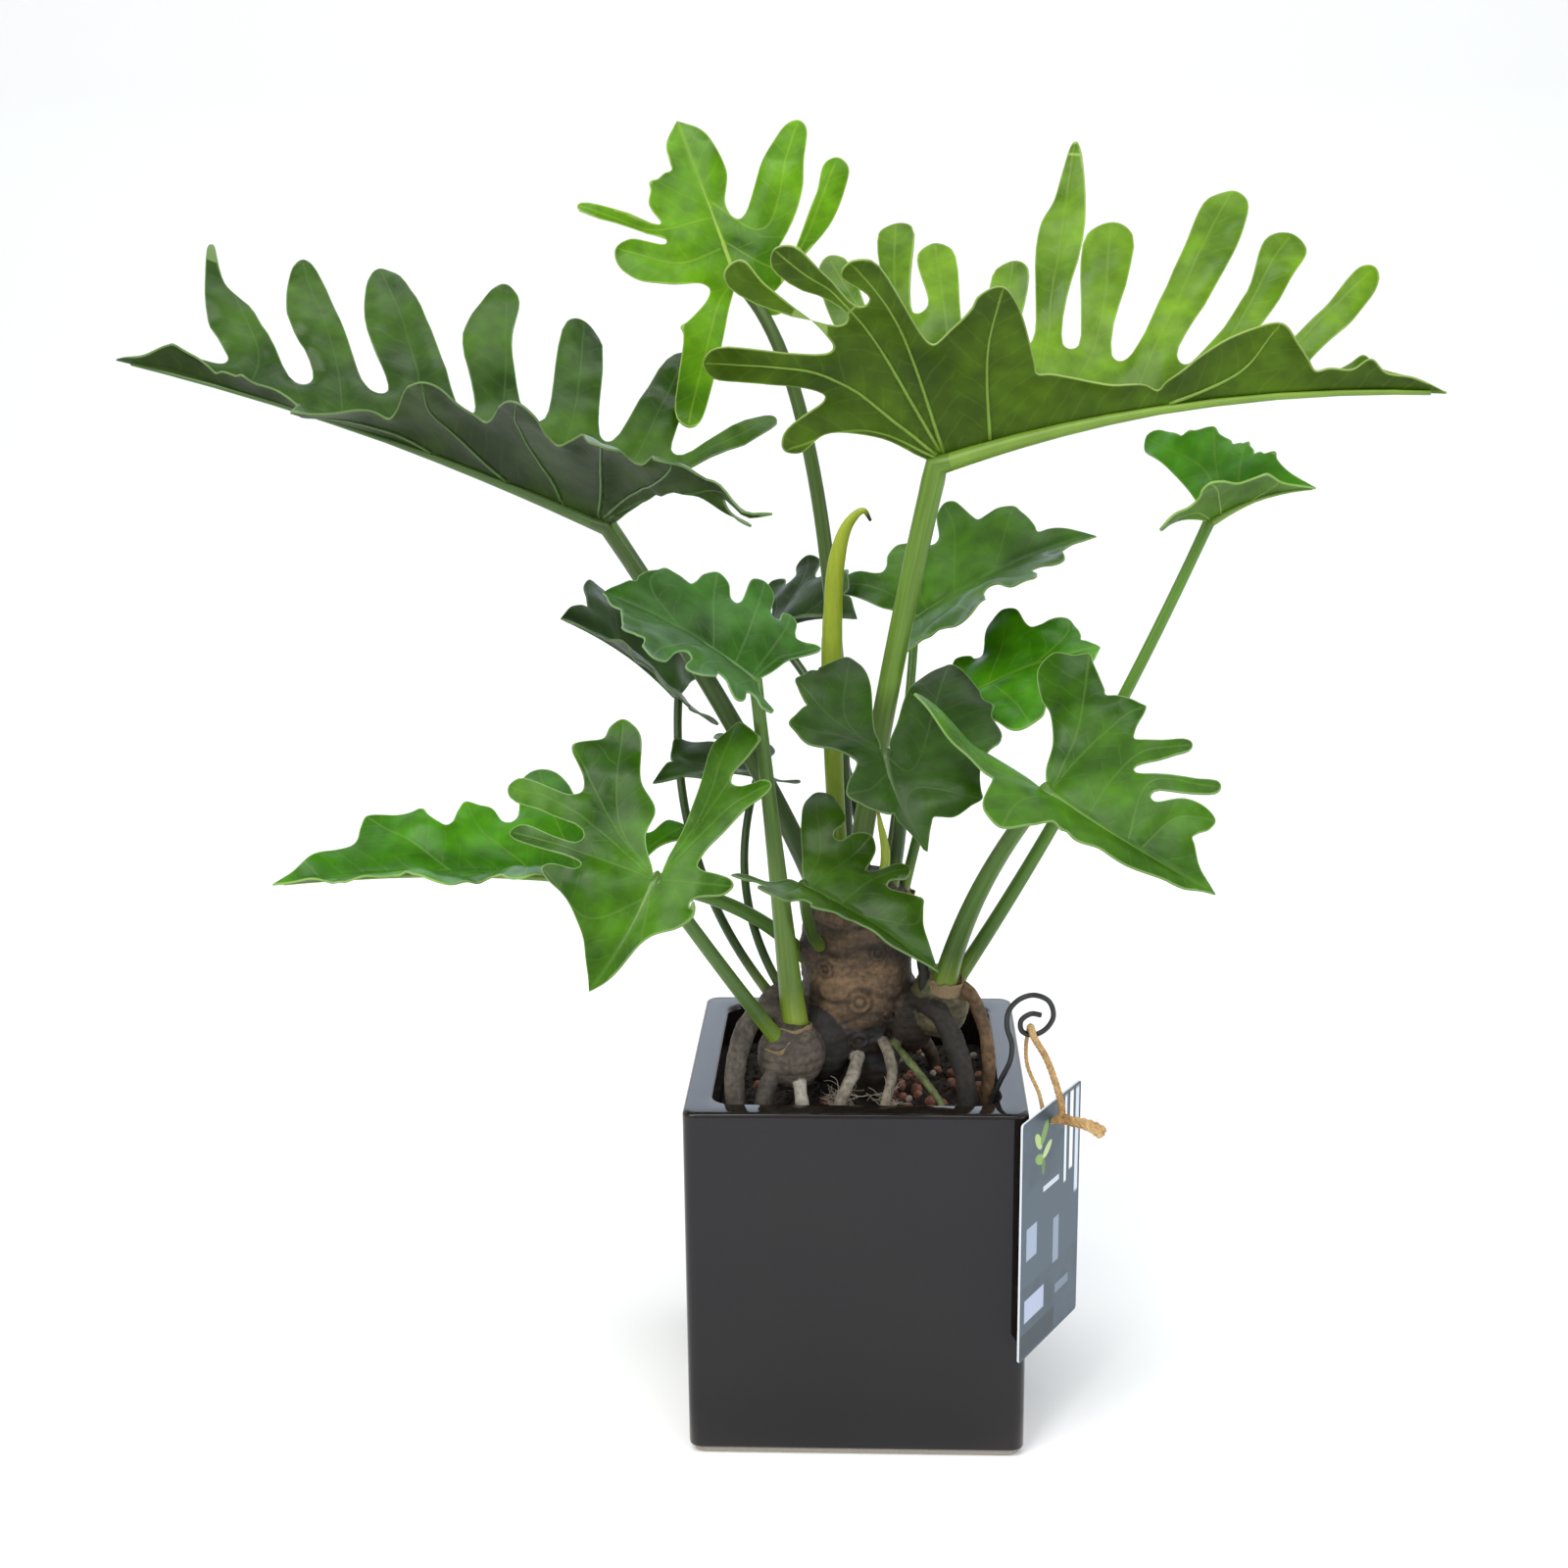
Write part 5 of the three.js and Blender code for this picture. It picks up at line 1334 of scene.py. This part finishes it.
def leaf_blade(name, upper, lit, under, under_lit, vein, margin):
    """Living waxy leaf: a satin upper side, a duller and paler underside, faint pale veins and a fine pale
    margin. Each side is mixed in large patches between its colour and a lit copy of it, as painted light."""
    material = new_material(name)
    place = add_node(material, "ShaderNodeTexCoord")
    on_vein = add_node(material, "ShaderNodeSeparateXYZ", {0: place.outputs["UV"]}).outputs
    clouds = add_node(material, "ShaderNodeTexNoise", {"Vector": place.outputs["Object"],
                      "Scale": 1 / (45 * MM), "Detail": 3.0}).outputs[0]
    mottle = add_node(material, "ShaderNodeTexNoise", {"Vector": place.outputs["Object"],
                      "Scale": 1 / (9 * MM), "Detail": 4.0}).outputs[0]
    cloud = add_node(material, "ShaderNodeMapRange", {"Value": clouds, "From Min": 0.38,
                     "From Max": 0.62}).outputs[0]
    sides = add_node(material, "ShaderNodeAttribute", attribute_name="underside").outputs["Fac"]
    margins = add_node(material, "ShaderNodeAttribute", attribute_name="margin_mm").outputs["Fac"]
    middles = add_node(material, "ShaderNodeAttribute", attribute_name="midrib_mm").outputs["Fac"]
    # Painted light: large noise patches of the lit colour on each side of the blade.
    top = mix_colours(material, cloud, linear(upper), linear(lit))
    low = mix_colours(material, cloud, linear(under), linear(under_lit))
    skin = mix_colours(material, sides, top, low)
    shade = add_node(material, "ShaderNodeMapRange", {"Value": mottle, "From Min": 0.3, "From Max": 0.7,
                     "To Min": 0.72, "To Max": 1.2}).outputs[0]
    skin = mix_colours(material, 1.0, skin, shade, blend_type="MULTIPLY")
    by_midrib = calculate(material, "GREATER_THAN", on_vein["X"], 2.0)
    off = calculate(material, "MULTIPLY_ADD", by_midrib, -4.0, on_vein["X"])
    aside = calculate(material, "ABSOLUTE", off)
    lobe_line = add_node(material, "ShaderNodeMapRange", {"Value": aside, "From Min": 0.002,
                         "From Max": 0.007, "To Min": 1.0, "To Max": 0.0}).outputs[0]
    apart_line = calculate(material, "SUBTRACT", lobe_line, by_midrib)
    rib_line = add_node(material, "ShaderNodeMapRange", {"Value": middles, "From Min": 0.4, "From Max": 1.3,
                        "To Min": 1.0, "To Max": 0.0}).outputs[0]
    lines = calculate(material, "MAXIMUM", apart_line, rib_line)
    wander = calculate(material, "MULTIPLY_ADD", mottle, 0.05, on_vein["Y"])
    slant = calculate(material, "MULTIPLY_ADD", aside, -0.9, wander)
    spaced = calculate(material, "PINGPONG", slant, 0.045)
    side_veins = add_node(material, "ShaderNodeMapRange", {"Value": spaced, "From Min": 0.0,
                          "From Max": 0.008, "To Min": 1.0, "To Max": 0.0}).outputs[0]
    faint = calculate(material, "MULTIPLY", side_veins, 0.13)
    clear = add_node(material, "ShaderNodeMapRange", {"Value": sides, "To Min": 0.3,
                     "To Max": 0.65}).outputs[0]
    strong = calculate(material, "MULTIPLY", lines, clear)
    netted = calculate(material, "MAXIMUM", strong, faint)
    veined = mix_colours(material, netted, skin, linear(vein))
    rim = add_node(material, "ShaderNodeMapRange", {"Value": margins, "From Min": 0.1, "From Max": 0.6,
                   "To Min": 0.6, "To Max": 0.0}).outputs[0]
    edged = mix_colours(material, rim, veined, linear(margin))
    dull = add_node(material, "ShaderNodeMapRange", {"Value": sides, "To Min": 0.16,
                    "To Max": 0.34}).outputs[0]
    gloss = calculate(material, "MULTIPLY_ADD", clouds, 0.36, dull)
    relief = calculate(material, "MULTIPLY_ADD", netted, -1.2, mottle)
    bump = add_node(material, "ShaderNodeBump", {"Height": relief, "Strength": 0.35, "Distance": 0.5 * MM})
    return finish_material(material, Base_Color=edged, Roughness=gloss, Normal=bump.outputs[0],
                           IOR=1.4, Specular_IOR_Level=0.26)


def leaf_stalk(name, foot, middle, top):
    """Fleshy leaf stalk: smooth and satin, pale at its foot, with fine darker streaks along it."""
    material = new_material(name)
    place = add_node(material, "ShaderNodeTexCoord")
    around = add_node(material, "ShaderNodeMapping", {"Vector": place.outputs["UV"], "Scale": (9, 1.2, 1)})
    streak = add_node(material, "ShaderNodeTexNoise", {"Vector": around.outputs[0], "Scale": 2.0,
                      "Detail": 4.0})
    length = add_node(material, "ShaderNodeSeparateXYZ", {0: place.outputs["UV"]}).outputs["Y"]
    ramp = add_node(material, "ShaderNodeValToRGB", {0: length})
    ramp.color_ramp.elements[0].color = linear(foot)
    ramp.color_ramp.elements[1].color = linear(top)
    ramp.color_ramp.elements[0].position = 0.06
    ramp.color_ramp.elements[1].position = 1.0
    ramp.color_ramp.elements.new(0.22).color = linear(middle)
    shade = add_node(material, "ShaderNodeMapRange", {"Value": streak.outputs[0], "From Min": 0.3,
                     "From Max": 0.7, "To Min": 0.72, "To Max": 1.18}).outputs[0]
    skin = mix_colours(material, 1.0, ramp.outputs[0], shade, blend_type="MULTIPLY")
    bump = add_node(material, "ShaderNodeBump", {"Height": streak.outputs[0], "Strength": 0.25,
                    "Distance": 0.4 * MM})
    return finish_material(material, Base_Color=skin, Roughness=0.38, Normal=bump.outputs[0],
                           IOR=1.45, Subsurface_Weight=0.2, Subsurface_Radius=(1.0, 1.0, 0.3),
                           Subsurface_Scale=1.2 * MM)


def raised_vein(name, colour):
    """The raised veins under a leaf: paler and smoother than the blade."""
    material = new_material(name)
    place = add_node(material, "ShaderNodeTexCoord").outputs["Object"]
    fleck = add_node(material, "ShaderNodeTexNoise", {"Vector": place, "Scale": 1 / (9 * MM), "Detail": 2.0})
    shade = add_node(material, "ShaderNodeMapRange", {"Value": fleck.outputs[0], "To Min": 0.8,
                     "To Max": 1.2})
    skin = mix_colours(material, 1.0, linear(colour), shade.outputs[0], blend_type="MULTIPLY")
    return finish_material(material, Base_Color=skin, Roughness=0.4, IOR=1.45,
                           Subsurface_Weight=0.2, Subsurface_Radius=(1.0, 1.0, 0.3),
                           Subsurface_Scale=1.0 * MM)


def leaf_materials():
    """Each tone of leaf: its blade, stalk and raised veins, from lime to nearly black green. The deep tone is
    painted shade: it makes the leaves that sit in shade darker.
    """
    tones = {
        "lime": ("#356000", "#5a8c02", "#3e6202", "#5c8406", "#7e9e28", "#a6bc60", "#4c5a1c", "#30401a",
                 "#3c5418"),
        "fresh": ("#3e6004", "#5c820a", "#324a00", "#456204", "#6c8a2c", "#98ae60", "#66802a", "#48601e",
                  "#5c7c24"),
        "bright": ("#306604", "#488c0a", "#385c06", "#4c760c", "#6c8c34", "#98b464", "#6c862a", "#42661a",
                   "#527a20"),
        "mature": ("#244800", "#3e6c06", "#294200", "#3c5a08", "#587a2e", "#88a464", "#6c862a", "#405e1a",
                   "#4a6e20"),
        "dark": ("#1e3a00", "#345606", "#182a00", "#283e04", "#446028", "#708a54", "#5c722c", "#334c1a",
                 "#3e561e"),
        "deep": ("#142a00", "#264606", "#122200", "#1e3202", "#3c5626", "#6c8650", "#5c722c", "#2c4616",
                 "#364e1c"),
        "blue": ("#204400", "#36641e", "#263c04", "#36500e", "#587848", "#84a470", "#849a2a", "#5c7a22",
                 "#4e7024"),
    }
    made = {}
    for tone, (upper, lit, under, under_lit, vein, margin, foot, middle, top) in tones.items():
        made[tone] = (leaf_blade(tone + "_leaf_blade", upper, lit, under, under_lit, vein, margin),
                      leaf_stalk(tone + "_leaf_stalk", foot, middle, top),
                      raised_vein(tone + "_raised_vein", vein))
    return made


# The deep tone of leaves G, L, M and O is painted shade.
TONE_OF = dict(leaf_a="dark", leaf_b="fresh", leaf_c="lime", leaf_e="bright", leaf_f="mature", leaf_g="deep",
               leaf_h="mature", leaf_i="mature", leaf_j="bright", leaf_k="blue", leaf_l="deep", leaf_m="deep",
               leaf_n="dark", leaf_o="deep", leaf_d="bright")


def add_leaf(name, leaf, seed, materials):
    sheet, ribs, length, place = blade_sheet(leaf, seed)
    growth = Growth()
    normals = grow_blade(growth, sheet)
    grow_veins(growth, sheet, ribs, normals, leaf)
    grow_stalk(growth, leaf, place, length)
    piece = add_mesh(name + "_grown", growth.corners, growth.faces)
    mesh = piece.data
    for made in materials:
        mesh.materials.append(made)
    layer = mesh.uv_layers.new(name="on_leaf")
    for face, slot_number, places in zip(mesh.polygons, growth.slots, growth.uvs):
        face.material_index = slot_number
        scale = 1 if slot_number == 1 else 0.01
        for loop, (u, v) in zip(face.loop_indices, places):
            layer.data[loop].uv = (u * scale, v * scale)
    for label, values in (("margin_mm", growth.margin), ("midrib_mm", growth.midrib),
                          ("underside", growth.under)):
        mesh.attributes.new(label, "FLOAT", "POINT").data.foreach_set("value", values)
    sharp = mesh.attributes.new("sharp_edge", "BOOLEAN", "EDGE")
    flags = [(a, b) in growth.sharp or (b, a) in growth.sharp for a,
             b in (edge.vertices for edge in mesh.edges)]
    sharp.data.foreach_set("value", flags)
    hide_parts(name)
    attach(piece, "root")


def add_leaves():
    materials = leaf_materials()
    for number, (name, leaf) in enumerate(LEAVES.items()):
        add_leaf(name, leaf, 1.7 * number, materials[TONE_OF[name]])


add_leaves()


# The spears are young leaves still rolled up: a tapering roll whose edge winds round it, yellow-green
# and soft, with a dried dark tip where it has begun to curl.
SPEARS = {
    "spear_1": (((-6, 1, 226), (-9, 2, 270), (-10, 4, 330), (-8, 5, 366), (-3, 5, 381), (3, 4, 386),
                (6, 3, 382)),
                (3.6, 4, 4.4, 3.6, 2.2, 1.3, 0.6)),
    "spear_2": (((9, -18, 222), (11, -22, 236), (12, -25, 250), (10, -26.5, 262), (9, -27, 268)),
                (2.2, 2.2, 2, 1.2, 0.5)),
}


def young_leaf(name, foot, middle, tip):
    """Rolled young leaf: smooth and satin, coloured by the height that its own attribute gives."""
    material = new_material(name)
    rise = add_node(material, "ShaderNodeAttribute", attribute_name="rise").outputs["Fac"]
    ramp = add_node(material, "ShaderNodeValToRGB", {0: rise})
    ramp.color_ramp.elements[0].color = linear(foot)
    ramp.color_ramp.elements[1].color = linear(tip)
    ramp.color_ramp.elements[1].position = 0.94
    ramp.color_ramp.elements.new(0.5).color = linear(middle)
    ramp.color_ramp.elements.new(0.84).color = linear(middle)
    place = add_node(material, "ShaderNodeTexCoord").outputs["Object"]
    drawn = add_node(material, "ShaderNodeMapping", {"Vector": place, "Scale": (1, 1, 0.15)}).outputs[0]
    fine = add_node(material, "ShaderNodeTexNoise", {"Vector": drawn, "Scale": 1 / (1.2 * MM), "Detail": 3.0})
    shade = add_node(material, "ShaderNodeMapRange", {"Value": fine.outputs[0], "To Min": 0.8, "To Max": 1.2})
    skin = mix_colours(material, 1.0, ramp.outputs[0], shade.outputs[0], blend_type="MULTIPLY")
    bump = add_node(material, "ShaderNodeBump", {"Height": fine.outputs[0], "Strength": 0.25,
                    "Distance": 0.3 * MM})
    return finish_material(material, Base_Color=skin, Roughness=0.4, Normal=bump.outputs[0],
                           IOR=1.4, Subsurface_Weight=0.25, Subsurface_Radius=(1.0, 1.0, 0.3),
                           Subsurface_Scale=1.2 * MM)


def add_spear(name, path, given, material):
    points = smooth_line(path, 14)
    count = len(points) - 1
    spots = np.linspace(0, len(given) - 1, count + 1)
    radii = np.interp(spots, range(len(given)), given)
    sides = 28
    corners, faces = tube(points, radii, sides)
    for i, point in enumerate(points):
        for k in range(sides):
            winding = (k / sides + 1.4 * i / count) % 1
            share = 0.92 + 0.1 * winding
            corners[i * sides + k] = point + (corners[i * sides + k] - point) * share
    piece = add_mesh(name + "_rolled", corners, faces)
    piece.data.materials.append(material)
    rise = [i / count for i in range(count + 1) for _ in range(sides)]
    piece.data.attributes.new("rise", "FLOAT", "POINT").data.foreach_set("value", rise)
    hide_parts(name)
    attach(piece, "root")


add_spear("spear_1", *SPEARS["spear_1"], young_leaf("yellowing_spear", "#5c7a1c", "#8f9c24", "#241a10"))
add_spear("spear_2", *SPEARS["spear_2"], young_leaf("green_spear", "#6c8a20", "#8c9c2a", "#8a7a3a"))


# The hook is steel wire with a black lacquer, bent cold into a curl and pushed into the soil.
WIRE_RADIUS = 1.1
WIRE = (
    (53, -46, 112), (54, -46.5, 134), (55.5, -47.5, 148), (58.5, -48.5, 158), (63, -50, 169),
    (63.5, -50, 176),
    (61.5, -50, 183), (62, -50, 190), (66, -50, 195), (72, -50, 197), (78, -50, 194.5), (80, -50, 188),
    (77, -50, 182.5), (72, -50, 180), (67.5, -50, 181.5), (67, -50, 186), (71, -50, 189), (75, -50, 188.5),
)


def black_wire():
    """Black lacquer on steel wire: satin, with fine lengthwise unevenness and paler specks."""
    material = new_material("black_lacquered_wire")
    place = add_node(material, "ShaderNodeTexCoord").outputs["Object"]
    uneven = add_node(material, "ShaderNodeTexNoise", {"Vector": place, "Scale": 1 / (2.5 * MM),
                      "Detail": 4.0})
    tint = mix_colours(material, uneven.outputs[0], linear("#0e0e0f"), linear("#2b2a2a"))
    gloss = add_node(material, "ShaderNodeMapRange", {"Value": uneven.outputs[0], "To Min": 0.28,
                     "To Max": 0.5})
    return finish_material(material, Base_Color=tint, Roughness=gloss.outputs[0])


def add_wire():
    points = smooth_line(WIRE, 8)
    end = points[-1] + (points[-1] - points[-2]).normalized() * 0.3
    radii = [WIRE_RADIUS] * len(points) + [WIRE_RADIUS * 0.6]
    piece = add_mesh("wire_curl", *tube(points + [end], radii, 14))
    piece.data.materials.append(black_wire())
    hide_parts("wire_hook")
    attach(piece, "root")


add_wire()


# The tag is a printed card, die cut with round corners and one punched hole. Its print is a made-up
# pattern of pale blocks and streaks on slate, with a small leaf sprig.
TAG_WIDTH = 56
TAG_HEIGHT = 104
TAG_THICK = 0.9
TAG_HOLE = 1.9
TAG_ABOVE = 8
TAG_AT = Vector((79.5, -57.5, 146))
TAG_RUN = Vector((27, 49, 0)).normalized()
TAG_OUT = Vector((49, -27, 0)).normalized()
# Each printed patch: its middle and half size across and up the card, its tilt, if it is a leaf, and
# its tint.
PRINT = (
    (0.5, 0.5, 0.5, 0.2, 0, False, "#41525f"), (0.3, 0.06, 0.3, 0.05, 0, False, "#26343e"),
    (0.24, 0.2, 0.17, 0.05, 0, False, "#aab4cc"), (0.18, 0.48, 0.09, 0.07, 0, False, "#98a5ba"),
    (0.6, 0.4, 0.05, 0.1, 0, False, "#8492a4"), (0.72, 0.18, 0.12, 0.02, 0, False, "#6c7c8c"),
    (0.74, 0.8, 0.02, 0.19, 0, False, "#dfe6ee"), (0.84, 0.82, 0.03, 0.17, 0, False, "#f0f3f6"),
    (0.94, 0.76, 0.03, 0.23, 0, False, "#cdd6e0"), (0.5, 0.66, 0.14, 0.012, 0, False, "#c4ccd8"),
    (0.27, 0.88, 0.09, 0.022, 0.9, True, "#a9c27a"), (0.37, 0.9, 0.1, 0.024, 2.2, True, "#6f9440"),
    (0.3, 0.8, 0.09, 0.022, 0.4, True, "#7fa04c"), (0.42, 0.82, 0.09, 0.02, 2.6, True, "#b4cc8c"),
    (0.36, 0.76, 0.07, 0.016, 1.6, True, "#587a38"),
)


def printed_card():
    """Coated card printed on its face: slate ink with a made-up pattern, a little worn."""
    material = new_material("printed_card")
    place = add_node(material, "ShaderNodeTexCoord")
    across = add_node(material, "ShaderNodeSeparateXYZ", {0: place.outputs["UV"]}).outputs
    cloudy = add_node(material, "ShaderNodeTexNoise", {"Vector": place.outputs["Object"],
                      "Scale": 1 / (14 * MM), "Detail": 3.0})
    ink = mix_colours(material, cloudy.outputs[0], linear("#26343e"), linear("#4a5d6c"))
    tall = TAG_HEIGHT / TAG_WIDTH
    for u, v, half_u, half_v, tilt, leaf, tint in PRINT:
        x = calculate(material, "SUBTRACT", across["X"], u)
        y = calculate(material, "ADD", across["Y"], -v)
        y = calculate(material, "MULTIPLY", y, tall)
        spot = add_node(material, "ShaderNodeCombineXYZ", {0: x, 1: y}).outputs[0]
        turned = add_node(material, "ShaderNodeVectorRotate", {"Vector": spot, "Angle": tilt}).outputs[0]
        size = (1 / half_u, 1 / (half_v * tall), 1.0)
        scaled = add_node(material, "ShaderNodeVectorMath", {0: turned, 1: size},
                          operation="MULTIPLY").outputs[0]
        if leaf:
            reach = add_node(material, "ShaderNodeVectorMath", {0: scaled},
                             operation="LENGTH").outputs["Value"]
        else:
            sized = add_node(material, "ShaderNodeVectorMath", {0: scaled}, operation="ABSOLUTE").outputs[0]
            parts = add_node(material, "ShaderNodeSeparateXYZ", {0: sized}).outputs
            reach = calculate(material, "MAXIMUM", parts["X"], parts["Y"])
        inked = add_node(material, "ShaderNodeMapRange", {"Value": reach, "From Min": 0.93, "From Max": 1.0,
                         "To Min": 1.0, "To Max": 0.0}).outputs[0]
        ink = mix_colours(material, inked, ink, linear(tint))
    return finish_material(material, Base_Color=ink, Roughness=0.42, IOR=1.4)


def card_edge():
    """The card's own pale core, seen at its cut edges."""
    material = new_material("card_core")
    place = add_node(material, "ShaderNodeTexCoord").outputs["Object"]
    fibre = add_node(material, "ShaderNodeTexNoise", {"Vector": place, "Scale": 1 / (0.6 * MM),
                     "Detail": 2.0})
    tint = mix_colours(material, fibre.outputs[0], linear("#b9c2c8"), linear("#dfe4e6"))
    return finish_material(material, Base_Color=tint, Roughness=0.8)


def add_tag():
    half, low, round_off = TAG_WIDTH / 2, TAG_ABOVE - TAG_HEIGHT, 1.5
    outline = []
    for quarter, (sx, sy) in enumerate(((1, 1), (-1, 1), (-1, -1), (1, -1))):
        for k in range(7):
            turn = math.pi / 2 * (quarter + k / 6)
            x = sx * (half - round_off) + round_off * math.cos(turn)
            middle = TAG_ABOVE - round_off if sy > 0 else low + round_off
            outline.append((x, middle + round_off * math.sin(turn)))
    hole = [(TAG_HOLE * math.cos(t), TAG_HOLE * math.sin(t)) for t in np.linspace(0, 2 * math.pi, 25)[:-1]]
    ring = len(outline)
    flat = outline + hole
    edges = [(ring + k, ring + (k + 1) % len(hole)) for k in range(len(hole))]
    cut = delaunay_2d_cdt([Vector(p) for p in flat], edges, [list(range(ring))], 1, 1e-5)
    spots = [tuple(p) for p in cut[0]]
    front = [list(face) for face in cut[2]
             if math.hypot(sum(spots[c][0] for c in face) / 3,
                           sum(spots[c][1] for c in face) / 3) > TAG_HOLE * 0.98]
    count = len(spots)
    corners = [TAG_AT + TAG_RUN * x + Vector((0, 0, y)) + TAG_OUT * way * TAG_THICK / 2
               for way in (1, -1) for x, y in spots]
    faces = front + [[c + count for c in face[::-1]] for face in front]
    faces += [(b, a, a + count, b + count) for a, b in border_of(front)]
    piece = add_mesh("plant_tag", corners, faces, smooth=False)
    piece.data.materials.append(printed_card())
    piece.data.materials.append(card_edge())
    layer = piece.data.uv_layers.new(name="print")
    for number, face in enumerate(piece.data.polygons):
        face.material_index = 0 if number < 2 * len(front) else 1
        for loop, corner in zip(face.loop_indices, face.vertices):
            x, y = spots[corner % count]
            layer.data[loop].uv = (x / TAG_WIDTH + 0.5, (y - low) / TAG_HEIGHT)
    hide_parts("tag")
    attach(piece, "root")


add_tag()


# The twine is jute, laid up from three twisted strands. It hangs over the curl, goes through the tag's
# hole and is knotted on the tag's outer side, where its cut end has frayed.
TWINE_RADIUS = 1.5
TWINE_RISE = 0.4


def by_tag(run, out, up):
    return TAG_AT + TAG_RUN * run + TAG_OUT * out + Vector((0, 0, up))


def laid_strands(path, radii, turns, closed):
    """Three strands wound round a path, as the corners and faces of one mesh."""
    corners, faces = [], []
    count = len(path)
    frames = []
    across = None
    for i in range(count):
        ahead = path[(i + 1) % count] if closed or i < count - 1 else path[i]
        behind = path[i - 1] if closed or i else path[0]
        along = (ahead - behind).normalized()
        if across is None:
            across = along.orthogonal()
        across = (across - along * across.dot(along)).normalized()
        frames.append((across, along.cross(across)))
    for strand in range(3):
        points = []
        for i, (point, radius) in enumerate(zip(path, radii)):
            turn = 2 * math.pi * (turns * i / (count if closed else count - 1) + strand / 3)
            over, up = frames[i]
            points.append(point + (over * math.cos(turn) + up * math.sin(turn)) * radius * 0.47)
        made = tube(points, [r * 0.55 for r in radii], 9, closed)
        first = len(corners)
        corners += made[0]
        faces += [tuple(first + c for c in face) for face in made[1]]
    return corners, faces


def jute():
    """Dry jute yarn: pale tan bast fibres, matt, with darker flecks."""
    material = new_material("jute_yarn")
    place = add_node(material, "ShaderNodeTexCoord").outputs["Object"]
    fibre = add_node(material, "ShaderNodeTexNoise", {"Vector": place, "Scale": 1 / (0.5 * MM),
                     "Detail": 4.0})
    patch = add_node(material, "ShaderNodeTexNoise", {"Vector": place, "Scale": 1 / (9 * MM), "Detail": 2.0})
    both = calculate(material, "MULTIPLY", fibre.outputs[0], patch.outputs[0])
    share = add_node(material, "ShaderNodeMapRange", {"Value": both, "From Min": 0.14, "From Max": 0.36})
    tint = mix_colours(material, share.outputs[0], linear("#8f6a3a"), linear("#d9b884"))
    bump = add_node(material, "ShaderNodeBump", {"Height": fibre.outputs[0], "Strength": 0.6,
                    "Distance": 0.2 * MM})
    return finish_material(material, Base_Color=tint, Roughness=0.9, Normal=bump.outputs[0],
                           Subsurface_Weight=0.1, Subsurface_Radius=(1.0, 0.7, 0.4),
                           Subsurface_Scale=0.6 * MM)


def add_twine():
    loop = [(71, -50, 183.4), (72, -53.4, 180.4), (77, -55, 172), (81.5, -57.5, 160), by_tag(0, 4.6, 5),
            by_tag(0, 3.6, 1.2), by_tag(0, 1.6, TWINE_RISE), by_tag(0, -1.6, TWINE_RISE),
            by_tag(0, -3.4, 2.6),
            (74.5, -53, 156), (70, -48, 166), (69.5, -47, 176), (70.4, -47.2, 180.2)]
    steps = 16
    path = smooth_line(loop, steps, True)
    radii = []
    for i in range(len(path)):
        at = i / steps
        thin = min(max(at - 7.5, 0), 1) * min(max(12.6 - at, 0) / 0.8, 1)
        radii.append(TWINE_RADIUS * (1 - 0.4 * thin))
    pieces = [laid_strands(path, radii, 26, True)]
    for number, (tilt, size) in enumerate(((0.2, 2.0), (1.3, 1.9), (2.3, 1.8))):
        middle = by_tag(0, 4.8, 1.6)
        over = Vector((math.cos(tilt), math.sin(tilt), 0.3)).normalized()
        up = over.cross(Vector((0.2, 0.1 * number, 1))).normalized()
        wrap = [middle + (over * math.cos(t) + up * math.sin(t)) * size for t in np.linspace(0, 2 * math.pi,
                33)[:-1]]
        pieces.append(laid_strands(wrap, [1.1] * len(wrap), 5, True))
    tail = smooth_line([by_tag(0, 4.4, 1.5), by_tag(0.5, 9, 1.2), by_tag(1, 14, 1), by_tag(1.5, 18, 0),
                        by_tag(1.5, 21.6, -1.5)], 10)
    count = len(tail) - 1
    pieces.append(laid_strands(tail, [1.9 + 0.9 * k / count for k in range(count + 1)], 2.2, False))
    corners, faces = [], []
    for made in pieces:
        first = len(corners)
        corners += made[0]
        faces += [tuple(first + c for c in face) for face in made[1]]
    piece = add_mesh("jute_twine", corners, faces)
    yarn = jute()
    piece.data.materials.append(yarn)
    tail_start = len(corners) - len(pieces[-1][0])
    fray = [1.0 if k >= tail_start else 0.25 for k in range(len(corners))]
    piece.data.attributes.new("scatter", "FLOAT", "POINT").data.foreach_set("value", fray)
    fibres = scatter("loose_fibres", piece, "hair", 0.8 * MM, 1 * MM, 2.2 * MM, 0, 0.3 * MM, yarn, 1.2)
    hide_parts("twine")
    for made in (piece, fibres):
        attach(made, "root")


add_twine()


def record_sizes():
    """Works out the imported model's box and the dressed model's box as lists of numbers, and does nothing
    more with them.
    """
    boxes = [[[round(c, 5) for c in corner] for corner in box] for box in (cad_box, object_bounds())]


record_sizes()
